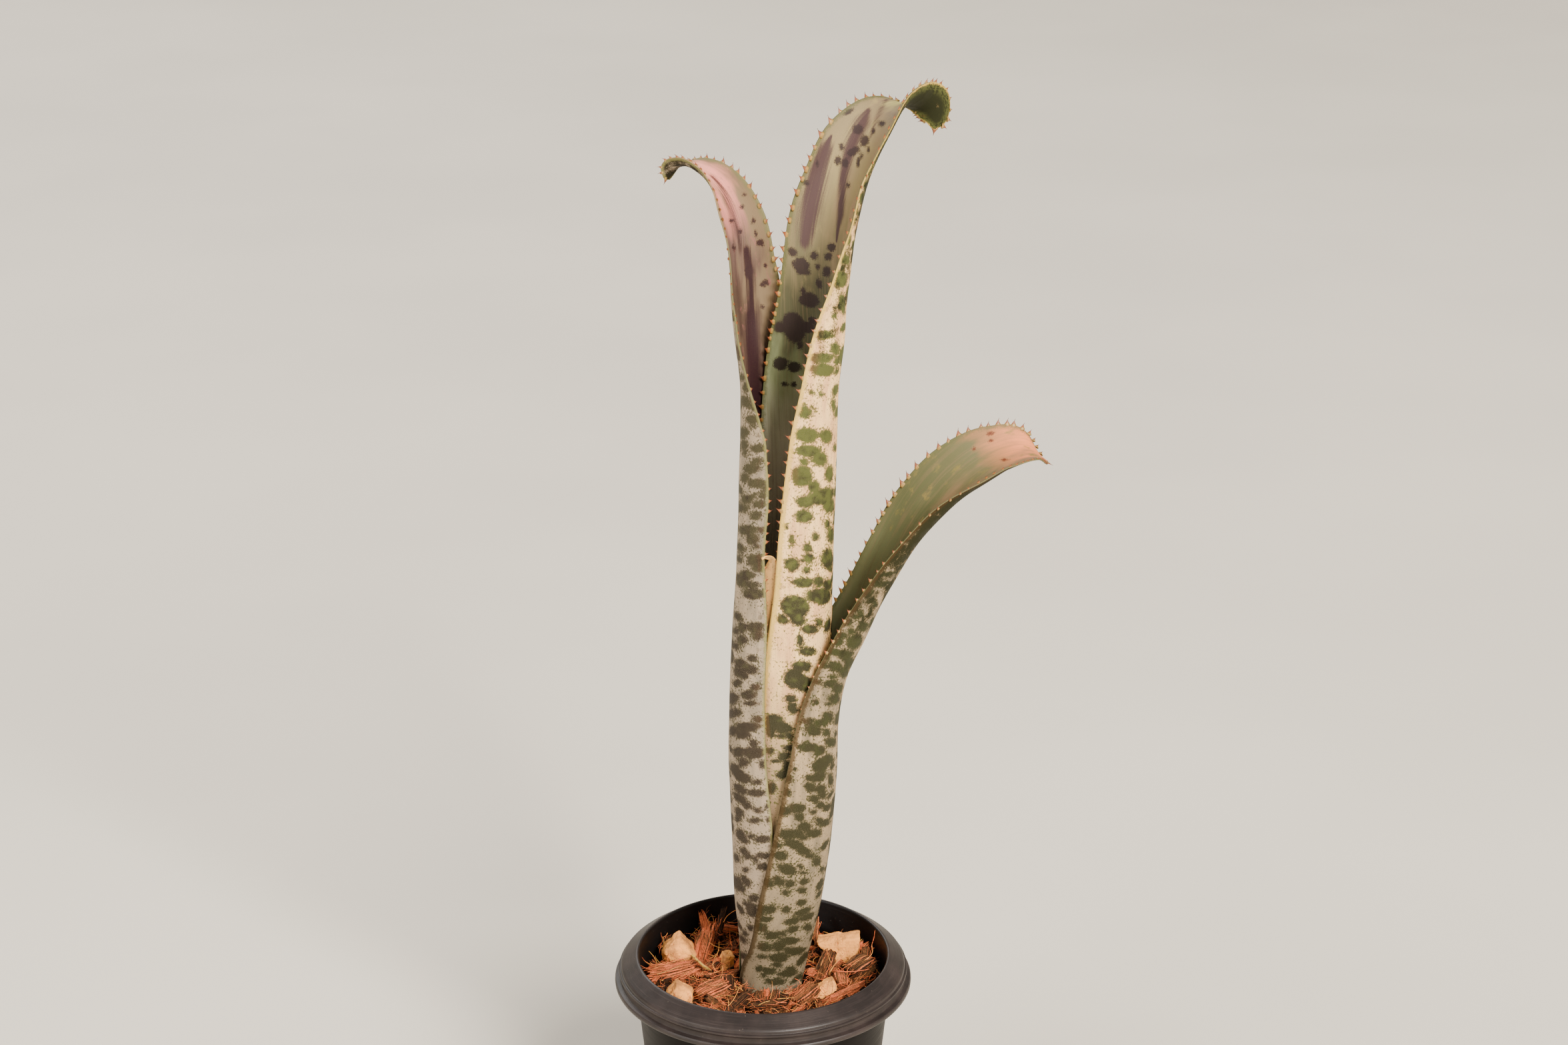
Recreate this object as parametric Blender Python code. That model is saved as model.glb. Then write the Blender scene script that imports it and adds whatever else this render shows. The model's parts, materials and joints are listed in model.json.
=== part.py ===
"""A tubular bromeliad in a round nursery pot filled with husk chips.

Sizes are in millimetres until mesh_object turns them into metres. The origin is the middle of the
pot's underside, +Z is up, +X is to the right and -Y faces the front.
"""

import math
import random

import bmesh
import bpy
import numpy as np
from mathutils import Matrix, Vector

MM = 0.001

# Pot
POT_HEIGHT = 95.0
POT_BASE_RADIUS = 38.8
POT_RIM_RADIUS = 55.0
POT_MOUTH_RADIUS = 46.0
POT_WALL = 1.3
POT_FLOOR = 2.0
POT_SEGMENTS = 48
DRAIN_COUNT = 6
DRAIN_RADIUS = 3.6
DRAIN_RING_RADIUS = 26.0

# Filling
CLEARANCE = 0.3
WALL_TOP = 83.0
BED_TOP_RING = 80.0
BED_LEVEL = 83.5
BED_RELIEF = 1.3
BED_RINGS = 6
BED_SEGMENTS = 36
HOLE_RADIUS = 13.6
HOLE_X = 2.6
HOLE_FLOOR = 56.0
OVER_TOP = 135.0
CHIP_SEED = 11
SMALL_CHIPS = 20
SMALL_CHIP_LIFT = 0.6
STONE_ROUNDNESS = 12
STONE_POCKET = 0.42
LARGE_STONE = 6.0

# Plant
LEAF_THICKNESS = 0.8
LEAF_SPACING = 1.4
LEAF_FOOT = 74.0
ROW_STEP = 9.0
TIP_ROW_STEP = 3.0
TIP_ZONE = 36.0
SAMPLE_STEP = 0.25
TOOTH_LENGTH = 1.9
TOOTH_BASE = 1.5
TOOTH_LEAN = 0.8
TIP_SPINE = 2.4

# The rolled leaves share one tube: height, middle along X, radius of the left leaf's outer face
TUBE = [
    (70, 2.0, 9.6),
    (84, 2.6, 10.5),
    (99, 3.8, 12.4),
    (117, 4.7, 15.0),
    (147, 6.2, 17.6),
    (184, 6.7, 18.9),
    (212, 7.4, 18.7),
    (235, 8.2, 18.1),
    (268, 9.4, 17.7),
    (300, 10.1, 17.6),
    (340, 10.4, 17.6),
]

# Each leaf: its layer out from the left leaf, the run of midrib over which it follows the tube, the
# height above which it has spines, and sheath rows of height and the bearings of its two margins. Its
# blade rows go on from there with the midrib's x, y, z, its bearing, its roll, the channel's radius
# and the half width.
LEAVES = {
    "leaf_right": {
        "layer": 1.25,
        "columns": 14,
        "tube_run": 130,
        "spines_from": 185,
        "sheath": [
            (LEAF_FOOT, -168, 168),
            (87, -154, 160),
            (102, -126, 152),
            (113, -118, 146),
            (130, -107, 135),
            (150, -97, 120),
            (168, -88, 105),
            (188, -78, 88),
        ],
        "blade": [
            (30.3, 1.5, 205, 2, 0, 19.0, 25.5),
            (36.5, 2, 220, 0, 0, 17.5, 22.5),
            (43.3, 3.5, 235, 2, 0, 15.5, 20),
            (51.5, 6, 250, 8, 3, 14, 18.5),
            (61, 9, 264, 15, 8, 13.5, 18),
            (72, 12, 275.5, 22, 14, 14, 17),
            (84, 15, 282.5, 26, 16, 14, 14.5),
            (95, 17, 284, 28, 16, 14, 10),
            (101, 18, 280.5, 28, 12, 14, 1.5),
        ],
    },
    "leaf_left": {
        "layer": 0,
        "columns": 12,
        "tube_run": 230,
        "spines_from": 225,
        "sheath": [
            (LEAF_FOOT, 20, 262),
            (120, 25, 262),
            (150, 28, 262),
            (175, 30, 255),
            (200, 30, 251),
            (235, 30, 249),
            (257, 38, 243),
            (281, 52, 245.5),
            (300, 75, 240),
        ],
        "blade": [
            (-5.4, 9.0, 318, 151, 0, 17.4, 19.2),
            (-5.9, 15.0, 335, 138, 0, 14, 15.4),
            (-6.8, 17.4, 352, 126, 0, 11, 12.7),
            (-8.2, 19.6, 368, 116, 0, 8.6, 10.4),
            (-12.8, 22, 378, 118, 4, 8, 9),
            (-19.8, 25.4, 384, 136, 10, 8.5, 8),
            (-26.3, 28, 386, 150, 16, 9, 6.8),
            (-30.8, 30, 384.5, 155, 18, 8, 5.2),
            (-32.8, 31, 380.5, 158, 18, 8, 1.2),
        ],
    },
    "leaf_tall": {
        "layer": -1,
        "columns": 13,
        "tube_run": 250,
        "spines_from": 225,
        "sheath": [
            (LEAF_FOOT, -75, 200),
            (84, -80, 200),
            (150, -112, 170),
            (200, -117, 150),
            (222, -112.5, 144.5),
            (240, -105.5, 140),
            (265, -102, 132),
            (290, -95, 130),
            (300, -91, 130),
        ],
        "blade": [
            (25.6, 6.9, 315, 24, 0, 15.8, 29.4),
            (26.8, 9, 330, 28, 0, 15, 27.8),
            (27, 12.6, 345, 34, 0, 14.5, 24),
            (27.6, 17.4, 362, 45, 0, 14.2, 21.5),
            (31.5, 22.4, 380, 47, 0, 14, 19),
            (36.5, 26.6, 393, 47, 2, 14, 17),
            (43, 32.5, 401, 47, -6, 13, 13.8),
            (49.8, 38, 404.5, 48, -22, 11, 11),
            (56, 43, 404.5, 50, -38, 10, 9.3),
            (60.3, 46.5, 402, 52, -46, 9, 8),
            (61.3, 48, 397.5, 52, -48, 8, 5.5),
            (60.8, 48, 394.5, 52, -48, 8, 1.2),
        ],
    },
    "leaf_inner": {
        "layer": -2,
        "columns": 8,
        "tube_run": 1000,
        "sheath": [
            (LEAF_FOOT, -180, 60),
            (100, -170, 40),
            (150, -165, -10),
            (200, -150, -70),
            (235, -130, -90),
            (250, -125, -97),
            (258, -119, -105),
        ],
        "blade": [],
    },
}

# Each stone: its middle, how far it reaches sideways, and its broken faces, each with the bearing and
# rise of its outward direction and its distance from the middle
STONES = {
    "pumice_stone_1": {
        "middle": (-31.6, 15.0, 87.4),
        "reach": 6.5,
        "faces": [
            (180, 47, 4.6),
            (0, 40, 4.1),
            (180, 0, 6.6),
            (0, -3, 6.7),
            (0, -90, 6.2),
            (-90, 12, 4.9),
            (90, 5, 5.1),
            (-130, -30, 6.0),
            (-50, -35, 6.0),
            (-90, 55, 5.0),
        ],
    },
    "pumice_stone_2": {
        "middle": (-30.6, -15.8, 85.4),
        "reach": 4.9,
        "faces": [
            (180, 50, 4.0),
            (0, 60, 3.6),
            (180, 0, 4.9),
            (0, 0, 4.9),
            (0, -90, 3.6),
            (-90, 10, 4.2),
            (90, 0, 4.2),
            (-60, 40, 4.1),
        ],
    },
    "pumice_stone_3": {
        "middle": (-13.6, 10.2, 85.6),
        "reach": 2.6,
        "faces": [
            (200, 20, 2.3),
            (20, 0, 2.4),
            (110, 0, 2.5),
            (-70, 5, 2.5),
            (0, 80, 2.8),
            (0, -90, 2.9),
        ],
    },
    "pumice_stone_4": {
        "middle": (28.2, 17.0, 86.6),
        "reach": 7.9,
        "faces": [
            (180, 83, 5.1),
            (0, -6, 7.7),
            (180, -46, 3.3),
            (0, -72, 6.0),
            (-90, 8, 3.9),
            (90, 0, 4.5),
            (180, 0, 8.6),
        ],
    },
    "pumice_stone_5": {
        "middle": (22.7, -11.3, 85.8),
        "reach": 3.9,
        "faces": [
            (180, 64, 1.9),
            (0, -64, 1.9),
            (0, 21, 4.2),
            (180, -21, 4.2),
            (-90, 25, 2.6),
            (90, 0, 3.0),
        ],
    },
}

# Larger chips: middle x, y, z, length, width, depth, bearing, tilt
LARGE_CHIPS = [
    (-36.0, 20.5, 86.0, 9, 6, 5, 60, 25),
    (-33.5, 3.0, 85.4, 20, 9, 6, 12, 6),
    (-22.5, 19.5, 86.6, 17, 8, 6, 75, 30),
    (-17.5, 27.5, 88.5, 20, 3.4, 3, 70, 38),
    (-21.5, 30.0, 87.5, 17, 3.4, 3, 112, 32),
    (-17.0, 35.0, 86.6, 15, 4, 3.4, 172, 5),
    (-18.5, -12.0, 85.0, 13, 10, 6, 20, 15),
    (-12.6, -10.8, 86.2, 8, 5, 4, 90, 50),
    (-8.0, -21.0, 85.0, 15, 5, 3.6, 50, 8),
    (15.5, -15.8, 85.6, 12, 9, 6, 40, 18),
    (22.8, 3.5, 86.3, 15, 7, 5, 65, 28),
    (29.0, -4.0, 85.2, 8, 6, 5, 95, 12),
    (36.3, 3.5, 86.0, 12, 10, 7, 30, 15),
    (38.0, 9.5, 87.0, 9, 4, 4, 80, 50),
    (29.3, -16.5, 86.2, 19, 3.6, 3, 30, 12),
    (19.5, 31.5, 87.0, 10, 4, 4, 80, 50),
    (2.2, -24.2, 85.0, 14, 8, 6, 2, 6),
    (-1.7, -18.8, 85.6, 6, 4, 4, 80, 40),
    (-23.2, 3.8, 87.6, 15, 1.8, 1.6, -62, 4),
    (-35.0, -24.0, 84.4, 12, 6, 5, 30, 8),
    (34.0, -22.0, 84.2, 11, 6, 5, 130, 10),
    (36.0, 17.0, 84.8, 11, 6, 5, 60, 15),
    (2.0, 33.0, 85.0, 15, 6, 5, 10, 12),
    (-18.0, -33.0, 84.0, 14, 7, 5, 160, 8),
    (12.0, -36.0, 84.0, 14, 7, 5, 15, 8),
]


def finish(name, colour, roughness):
    material = bpy.data.materials.new(name)
    material.use_nodes = True
    shader = material.node_tree.nodes["Principled BSDF"]
    shader.inputs["Base Color"].default_value = (*colour, 1)
    shader.inputs["Roughness"].default_value = roughness
    shader.inputs["Metallic"].default_value = 0
    return material


def mesh_object(name, points, faces, material, sharp_degrees=180.0):
    mesh = bpy.data.meshes.new(name)
    mesh.from_pydata([Vector(p) * MM for p in points], [], faces)
    mesh.shade_smooth()
    mesh.set_sharp_from_angle(angle=math.radians(sharp_degrees))
    obj = bpy.data.objects.new(name, mesh)
    bpy.context.collection.objects.link(obj)
    if material:
        mesh.materials.append(material)
    return obj


def turned(profile, segments):
    """Points and faces of the profile's (radius, height) pairs turned round Z, closed at both ends."""
    points, rings = [], []
    for radius, height in profile:
        if radius == 0:
            rings.append([len(points)] * segments)
            points.append((0, 0, height))
            continue
        rings.append([len(points) + k for k in range(segments)])
        for k in range(segments):
            turn = 2 * math.pi * k / segments
            points.append((radius * math.cos(turn), radius * math.sin(turn), height))
    faces = []
    for lower, upper in zip(rings, rings[1:]):
        for k in range(segments):
            after = (k + 1) % segments
            corners = [lower[k], lower[after], upper[after], upper[k]]
            faces.append(list(dict.fromkeys(corners)))
    return points, faces


def smooth_curve(knots, values, at):
    """A smooth curve through the values at the knots, read at each place in at."""
    knots, values, at = (np.asarray(a, float) for a in (knots, values, at))
    if values.ndim == 1:
        return smooth_curve(knots, values[:, None], at)[:, 0]
    steps = np.diff(knots)[:, None]
    rise = np.diff(values, axis=0) / steps
    inner = (rise[:-1] * steps[1:] + rise[1:] * steps[:-1]) / (steps[1:] + steps[:-1])
    slope = np.vstack([rise[:1], inner, rise[-1:]])
    i = np.clip(np.searchsorted(knots, at, "right") - 1, 0, len(steps) - 1)
    x = np.clip((at - knots[i])[:, None] / steps[i], 0, 1)
    start = (2 * x**3 - 3 * x**2 + 1) * values[i] + (x**3 - 2 * x**2 + x) * steps[i] * slope[i]
    return start + (3 * x**2 - 2 * x**3) * values[i + 1] + (x**3 - x**2) * steps[i] * slope[i + 1]


def tube_at(heights, layer):
    """The tube's middle along X and the outer radius of a layer, at each height."""
    knots = np.array(TUBE, float)
    middle, radius = smooth_curve(knots[:, 0], knots[:, 1:], heights).T
    return middle, radius + layer * LEAF_SPACING


def leaf_stations(leaf):
    """Rows of midrib x, y, z, bearing, roll, channel radius and half width, from foot to tip."""
    sheath = np.array(leaf["sheath"], float)
    low, high = sheath[0, 0], sheath[-1, 0]
    heights = np.linspace(low, high, int((high - low) / ROW_STEP) + 1)
    first, last = smooth_curve(sheath[:, 0], sheath[:, 1:], heights).T
    middle, radius = tube_at(heights, leaf["layer"])
    bearing = np.radians((first + last) / 2)
    rows = np.stack(
        [
            middle + radius * np.cos(bearing),
            radius * np.sin(bearing),
            heights,
            np.degrees(bearing),
            0 * heights,
            radius,
            radius * np.radians(last - first) / 2,
        ],
        axis=1,
    )
    return np.vstack([rows, np.array(leaf["blade"], float).reshape(-1, 7)])


def unit(vectors):
    return vectors / np.linalg.norm(vectors, axis=1, keepdims=True)


def channel_frame(along, bearing, roll):
    """The directions across the leaf and into its channel, where the midrib runs along."""
    level = np.stack([-np.sin(bearing), np.cos(bearing), 0 * bearing], axis=1)
    across = unit(level - (level * along).sum(axis=1, keepdims=True) * along)
    inward = np.cross(along, across)
    turn, lift = np.cos(roll)[:, None], np.sin(roll)[:, None]
    return across * turn + inward * lift, inward * turn - across * lift


def leaf_frames(leaf):
    """Closely spaced samples of the leaf: run, midrib, along, across, inward, radius, half width."""
    rows = leaf_stations(leaf)
    run = np.concatenate([[0], np.cumsum(np.linalg.norm(np.diff(rows[:, :3], axis=0), axis=1))])
    at = np.arange(0, run[-1], SAMPLE_STEP)
    values = smooth_curve(run, rows, at)
    midrib, radius, half = values[:, :3], values[:, 5], values[:, 6]
    bearing, roll = np.radians(values[:, 3]), np.radians(values[:, 4])
    along = unit(np.gradient(midrib, at, axis=0))
    inward = channel_frame(along, bearing, roll)[1]
    axis_along = unit(np.gradient(midrib + inward * radius[:, None], at, axis=0))
    free = np.clip((at - leaf["tube_run"]) / 40, 0, 1)[:, None]
    along = unit(axis_along * (1 - free) + along * free)
    across, inward = channel_frame(along, bearing, roll)
    return at, midrib, along, across, inward, radius, half


def leaf_point(frames, index, u, depth):
    """The point at arc length u from the midrib, depth in from the outer face."""
    _, midrib, _, across, inward, radius, _ = frames
    bend = radius[index]
    side = (bend - depth) * math.sin(u / bend)
    rise = bend - (bend - depth) * math.cos(u / bend)
    return midrib[index] + across[index] * side + inward[index] * rise


def leaf_rows(length):
    """Runs along the leaf where a row of points stands, closer together towards the tip."""
    main = length - TIP_ZONE
    body = np.linspace(0, main, int(main / ROW_STEP) + 1)
    tip = np.linspace(main, length - SAMPLE_STEP, int(TIP_ZONE / TIP_ROW_STEP) + 1)[1:]
    return np.concatenate([body, tip])


def leaf_sheet(leaf, frames):
    """Places (sample, arc length, forward shift) of the leaf's points, and its triangles."""
    at, half, columns = frames[0], frames[6], leaf["columns"]
    samples = [int(round(r / SAMPLE_STEP)) for r in leaf_rows(at[-1])]
    places = [(i, half[i] * (2 * j / columns - 1), 0.0) for i in samples for j in range(columns + 1)]
    triangles = []
    for row, (low, high) in enumerate(zip(samples, samples[1:])):
        base = row * (columns + 1)
        top = base + columns + 1
        middle = (low + high) // 2
        toothed = leaf["blade"] and frames[1][middle][2] > leaf["spines_from"]
        for j in range(columns):
            corners = (base + j, base + j + 1, top + j + 1, top + j)
            if toothed and j in (0, columns - 1):
                add_tooth(places, triangles, half, middle, corners, j == 0)
            elif j < columns / 2:
                triangles += [(corners[0], corners[1], corners[3]), (corners[1], corners[2], corners[3])]
            else:
                triangles += [(corners[0], corners[1], corners[2]), (corners[0], corners[2], corners[3])]
    last = len(samples) * (columns + 1) - columns - 1
    places.append((samples[-1], 0.0, TIP_SPINE))
    triangles += [(last + j, last + j + 1, len(places) - 1) for j in range(columns)]
    return places, triangles


def add_tooth(places, triangles, half, middle, corners, first_side):
    """Splits the margin's cell round one forward-leaning tooth."""
    side = -1 if first_side else 1
    reach = int(TOOTH_BASE / 2 / SAMPLE_STEP)
    near, tip, far = len(places), len(places) + 1, len(places) + 2
    places.append((middle - reach, side * half[middle - reach], 0.0))
    places.append((middle, side * (half[middle] + TOOTH_LENGTH), TOOTH_LEAN))
    places.append((middle + reach, side * half[middle + reach], 0.0))
    a, b, c, d = corners
    if first_side:
        triangles += [(a, b, near), (near, b, far), (far, b, c), (far, c, d), (near, far, tip)]
    else:
        triangles += [(a, b, near), (a, near, far), (a, far, d), (far, c, d), (near, tip, far)]


def thick_sheet(outer, inner, triangles):
    """A closed solid between two sheets of points that share their triangles."""
    count = len(outer)
    edges = {}
    for t in triangles:
        for edge in zip(t, t[1:] + t[:1]):
            edges[edge] = True
    rim = [edge for edge in edges if (edge[1], edge[0]) not in edges]
    faces = list(triangles)
    faces += [tuple(count + k for k in reversed(t)) for t in triangles]
    for a, b in rim:
        faces += [(a, count + b, b), (a, count + a, count + b)]
    return list(outer) + list(inner), faces


def make_leaf(name, leaf, material):
    frames = leaf_frames(leaf)
    places, triangles = leaf_sheet(leaf, frames)
    along = frames[2]
    sheets = []
    for depth in (0.0, LEAF_THICKNESS):
        sheets.append([leaf_point(frames, i, u, depth) + along[i] * shift for i, u, shift in places])
    points, faces = thick_sheet(sheets[0], sheets[1], triangles)
    return mesh_object(name, points, faces, material, 50)


def stock_profile():
    """The short stem inside the leaf bases: a root disc that the leaves stand on, and a rounded top."""
    seat = LEAF_FOOT - 4 * CLEARANCE
    foot = HOLE_FLOOR + CLEARANCE
    disc = tube_at([LEAF_FOOT], 1)[1][0]
    heights = np.array([seat, 80.0, 88.0])
    column = tube_at(heights, -2)[1] - LEAF_THICKNESS - 3 * CLEARANCE
    profile = [(0, foot), (5.0, foot), (disc - 2, 62.0), (disc, 68.0), (disc, seat)]
    profile += list(zip(column, heights))
    return profile + [(column[-1] * 0.7, 92.0), (0, 94.0)]


def make_stock(material):
    points, faces = turned(stock_profile(), 20)
    middle = tube_at([z for _, _, z in points], 0)[0]
    points = [(x + shift, y, z) for (x, y, z), shift in zip(points, middle)]
    return mesh_object("stock", points, faces, material, 40)


def pot_profile():
    """Radius and height pairs round the pot's wall, from the middle of the underside up and back in."""
    top = POT_HEIGHT
    return [
        (0, 0),
        (POT_BASE_RADIUS - 1.0, 0),
        (POT_BASE_RADIUS, 1.0),
        (47.3, WALL_TOP),
        (47.4, top - 3.0),
        (48.2, top - 2.4),
        (51.2, top - 4.6),
        (51.7, top - 8.8),
        (53.4, top - 10.6),
        (54.4, top - 11.0),
        (POT_RIM_RADIUS, top - 10.6),
        (POT_RIM_RADIUS, top - 9.3),
        (54.5, top - 8.8),
        (53.1, top - 8.6),
        (52.9, top - 6.4),
        (53.4, top - 6.0),
        (53.3, top - 5.3),
        (52.8, top - 4.9),
        (52.2, top - 3.8),
        (47.6, top - 0.5),
        (46.8, top),
        (POT_MOUTH_RADIUS + 0.2, top - 0.2),
        (POT_MOUTH_RADIUS, top - 0.8),
        (POT_MOUTH_RADIUS, WALL_TOP),
        (POT_BASE_RADIUS - POT_WALL, POT_FLOOR + 1.0),
        (POT_BASE_RADIUS - POT_WALL - 1.0, POT_FLOOR),
        (0, POT_FLOOR),
    ]


def cylinder_guide(name, x, y, radius, low, high, segments):
    points, faces = turned([(0, low), (radius, low), (radius, high), (0, high)], segments)
    return guide(mesh_object(name, [(px + x, py + y, z) for px, py, z in points], faces, None))


def guide(obj):
    obj.hide_render = True
    obj.display_type = "WIRE"
    return obj


def apply_boolean(obj, operation, others, solver="EXACT"):
    """Joins the other objects to this one or cuts them from it, then removes them."""
    tools = bpy.data.collections.new("tools")
    for other in others:
        bpy.context.collection.objects.unlink(other)
        tools.objects.link(other)
    bpy.context.scene.collection.children.link(tools)
    modifier = obj.modifiers.new("join", "BOOLEAN")
    modifier.operand_type = "COLLECTION"
    modifier.collection = tools
    modifier.operation = operation
    modifier.solver = solver
    bpy.context.view_layer.update()
    graph = bpy.context.evaluated_depsgraph_get()
    mesh = bpy.data.meshes.new_from_object(obj.evaluated_get(graph))
    obj.modifiers.remove(modifier)
    obj.data = mesh
    for other in others:
        bpy.data.objects.remove(other)
    bpy.data.collections.remove(tools)


def keep_largest_shell(mesh):
    """Removes crumbs that a cut left loose and hollows that a join closed in."""
    bm = bmesh.new()
    bm.from_mesh(mesh)
    left, largest = set(bm.faces), []
    while left:
        shell = [left.pop()]
        for face in shell:
            beside = {other for edge in face.edges for other in edge.link_faces} & left
            left -= beside
            shell.extend(sorted(beside, key=lambda f: f.index))
        if len(shell) > len(largest):
            largest = shell
    loose = set(bm.faces) - set(largest)
    bmesh.ops.delete(bm, geom=list(loose), context="FACES")
    bm.to_mesh(mesh)
    bm.free()


def make_pot(material):
    points, faces = turned(pot_profile(), POT_SEGMENTS)
    pot = mesh_object("pot", points, faces, material, 35)
    drains = []
    for k in range(DRAIN_COUNT):
        turn = 2 * math.pi * (k + 0.5) / DRAIN_COUNT
        x, y = DRAIN_RING_RADIUS * math.cos(turn), DRAIN_RING_RADIUS * math.sin(turn)
        drains.append(cylinder_guide("drain", x, y, DRAIN_RADIUS, -1, POT_FLOOR + 1, 16))
    apply_boolean(pot, "DIFFERENCE", drains)
    pot.data.shade_smooth()
    pot.data.set_sharp_from_angle(angle=math.radians(35))
    return pot


def stone_reach(stone, direction):
    """How far the stone goes in a direction from its middle: its broken faces, worn round between."""
    total = 0.0
    for bearing, rise, distance in stone["faces"]:
        turn, tilt = math.radians(bearing), math.radians(rise)
        flat = math.cos(tilt)
        outward = Vector((flat * math.cos(turn), flat * math.sin(turn), math.sin(tilt)))
        total += (max(outward.dot(direction), 0) / distance) ** STONE_ROUNDNESS
    return total ** (-1 / STONE_ROUNDNESS)


def make_stone(name, stone, material, grow=0.0):
    """One stone; grow moves its surface out so that it can cut its own pocket."""
    bm = bmesh.new()
    detail = 3 if stone["reach"] > LARGE_STONE else 2
    bmesh.ops.create_icosphere(bm, subdivisions=detail, radius=1)
    middle = Vector(stone["middle"])
    points = [v.co * (stone_reach(stone, v.co) + grow) + middle for v in bm.verts]
    faces = [tuple(v.index for v in f.verts) for f in bm.faces]
    bm.free()
    return mesh_object(name, points, faces, material, 40)


def bed_height(x, y):
    """The filling's top surface: a low mound of formula-made bumps."""
    far = math.hypot(x, y) / POT_MOUTH_RADIUS
    bumps = math.sin(x * 0.31 + 1.3) * math.cos(y * 0.27 - 0.6) + 0.6 * math.sin(x * 0.63 - y * 0.52)
    return BED_LEVEL + BED_RELIEF * bumps * (1 - 0.4 * far) - 1.5 * far**3


def bed_radius(height):
    low, high = POT_BASE_RADIUS - POT_WALL, POT_MOUTH_RADIUS
    share = min(max((height - POT_FLOOR) / (WALL_TOP - POT_FLOOR), 0), 1)
    return low + (high - low) * share - 2 * CLEARANCE


def make_bed(material):
    """Husk filling from the pot's floor to the mounded top, with a plain hole for the plant."""
    floor = POT_FLOOR + 1.0 + CLEARANCE
    profile = [(0, floor), (bed_radius(floor) - 1.5, floor)]
    points, faces = turned(profile, BED_SEGMENTS)
    rings = [[1 + k for k in range(BED_SEGMENTS)]]
    for ring in range(BED_RINGS + 1):
        radius = bed_radius(BED_TOP_RING) * (1 - ring / BED_RINGS)
        if ring == BED_RINGS:
            rings.append([len(points)] * BED_SEGMENTS)
            points.append((0, 0, bed_height(0, 0)))
            continue
        rings.append([len(points) + k for k in range(BED_SEGMENTS)])
        for k in range(BED_SEGMENTS):
            turn = 2 * math.pi * k / BED_SEGMENTS
            x, y = radius * math.cos(turn), radius * math.sin(turn)
            points.append((x, y, bed_height(x, y)))
    for lower, upper in zip(rings, rings[1:]):
        for k in range(BED_SEGMENTS):
            after = (k + 1) % BED_SEGMENTS
            a, b, c, d = lower[k], lower[after], upper[after], upper[k]
            faces.append((a, b, c))
            if c != d:
                faces.append((a, c, d))
    return mesh_object("husk_bed", points, faces, material, 40)


def make_chip(place, seed):
    """One broken piece of husk: a box with seeded corners, turned and tilted into the bed."""
    x, y, z, length, width, depth, bearing, tilt = place
    draw = random.Random(seed)
    bm = bmesh.new()
    bmesh.ops.create_cube(bm, size=1)
    lengthwise = [e for e in bm.edges if abs(e.verts[0].co.x - e.verts[1].co.x) > 0.5]
    bmesh.ops.subdivide_edges(bm, edges=lengthwise, cuts=1)
    for vert in bm.verts:
        thin, short = draw.uniform(0.6, 1.0), draw.uniform(0.85, 1.0)
        vert.co = vert.co * Vector((length * short, width * thin, depth * thin))
    turn = Matrix.Rotation(math.radians(bearing), 3, "Z") @ Matrix.Rotation(-math.radians(tilt), 3, "Y")
    bmesh.ops.rotate(bm, verts=bm.verts[:], cent=(0, 0, 0), matrix=turn)
    bmesh.ops.triangulate(bm, faces=bm.faces[:])
    points = [tuple(v.co + Vector((x, y, z))) for v in bm.verts]
    faces = [tuple(v.index for v in f.verts) for f in bm.faces]
    bm.free()
    return mesh_object("chip", points, faces, None)


def clear_of_neighbours(x, y, reach):
    """Whether a chip of this reach stays off the pot's wall, the plant and the stones."""
    if math.hypot(x, y) + reach > POT_MOUTH_RADIUS - 1.5:
        return False
    if math.hypot(x - HOLE_X, y) - reach < HOLE_RADIUS:
        return False
    for stone in STONES.values():
        if math.hypot(x - stone["middle"][0], y - stone["middle"][1]) < reach * 0.6 + stone["reach"]:
            return False
    return True


def small_chips():
    draw = random.Random(CHIP_SEED)
    places = []
    while len(places) < SMALL_CHIPS:
        radius, turn = POT_MOUTH_RADIUS * math.sqrt(draw.random()), draw.uniform(0, 2 * math.pi)
        x, y = radius * math.cos(turn), radius * math.sin(turn)
        z = bed_height(x, y) + SMALL_CHIP_LIFT
        length, width, depth = draw.uniform(6, 11), draw.uniform(3, 5), draw.uniform(2.5, 4)
        spin, tilt = draw.uniform(0, 180), draw.uniform(0, 30)
        if clear_of_neighbours(x, y, length / 2):
            places.append((x, y, z, length, width, depth, spin, tilt))
    return places


def make_filling(husk, pumice):
    bed = make_bed(husk)
    places = LARGE_CHIPS + small_chips()
    chips = [make_chip(place, CHIP_SEED + k) for k, place in enumerate(places)]
    apply_boolean(bed, "UNION", chips, "MANIFOLD")
    inside = cylinder_guide("inside", 0, 0, bed_radius(BED_TOP_RING), 0, OVER_TOP, POT_SEGMENTS)
    apply_boolean(bed, "INTERSECT", [inside], "MANIFOLD")
    cutters = [cylinder_guide("hole", HOLE_X, 0, HOLE_RADIUS, HOLE_FLOOR, OVER_TOP, 32)]
    for name, stone in STONES.items():
        make_stone(name, stone, pumice)
        cutters.append(guide(make_stone(name + "_pocket", stone, None, STONE_POCKET)))
    apply_boolean(bed, "DIFFERENCE", cutters, "MANIFOLD")
    keep_largest_shell(bed.data)
    bed.data.shade_smooth()
    bed.data.set_sharp_from_angle(angle=math.radians(25))


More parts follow.
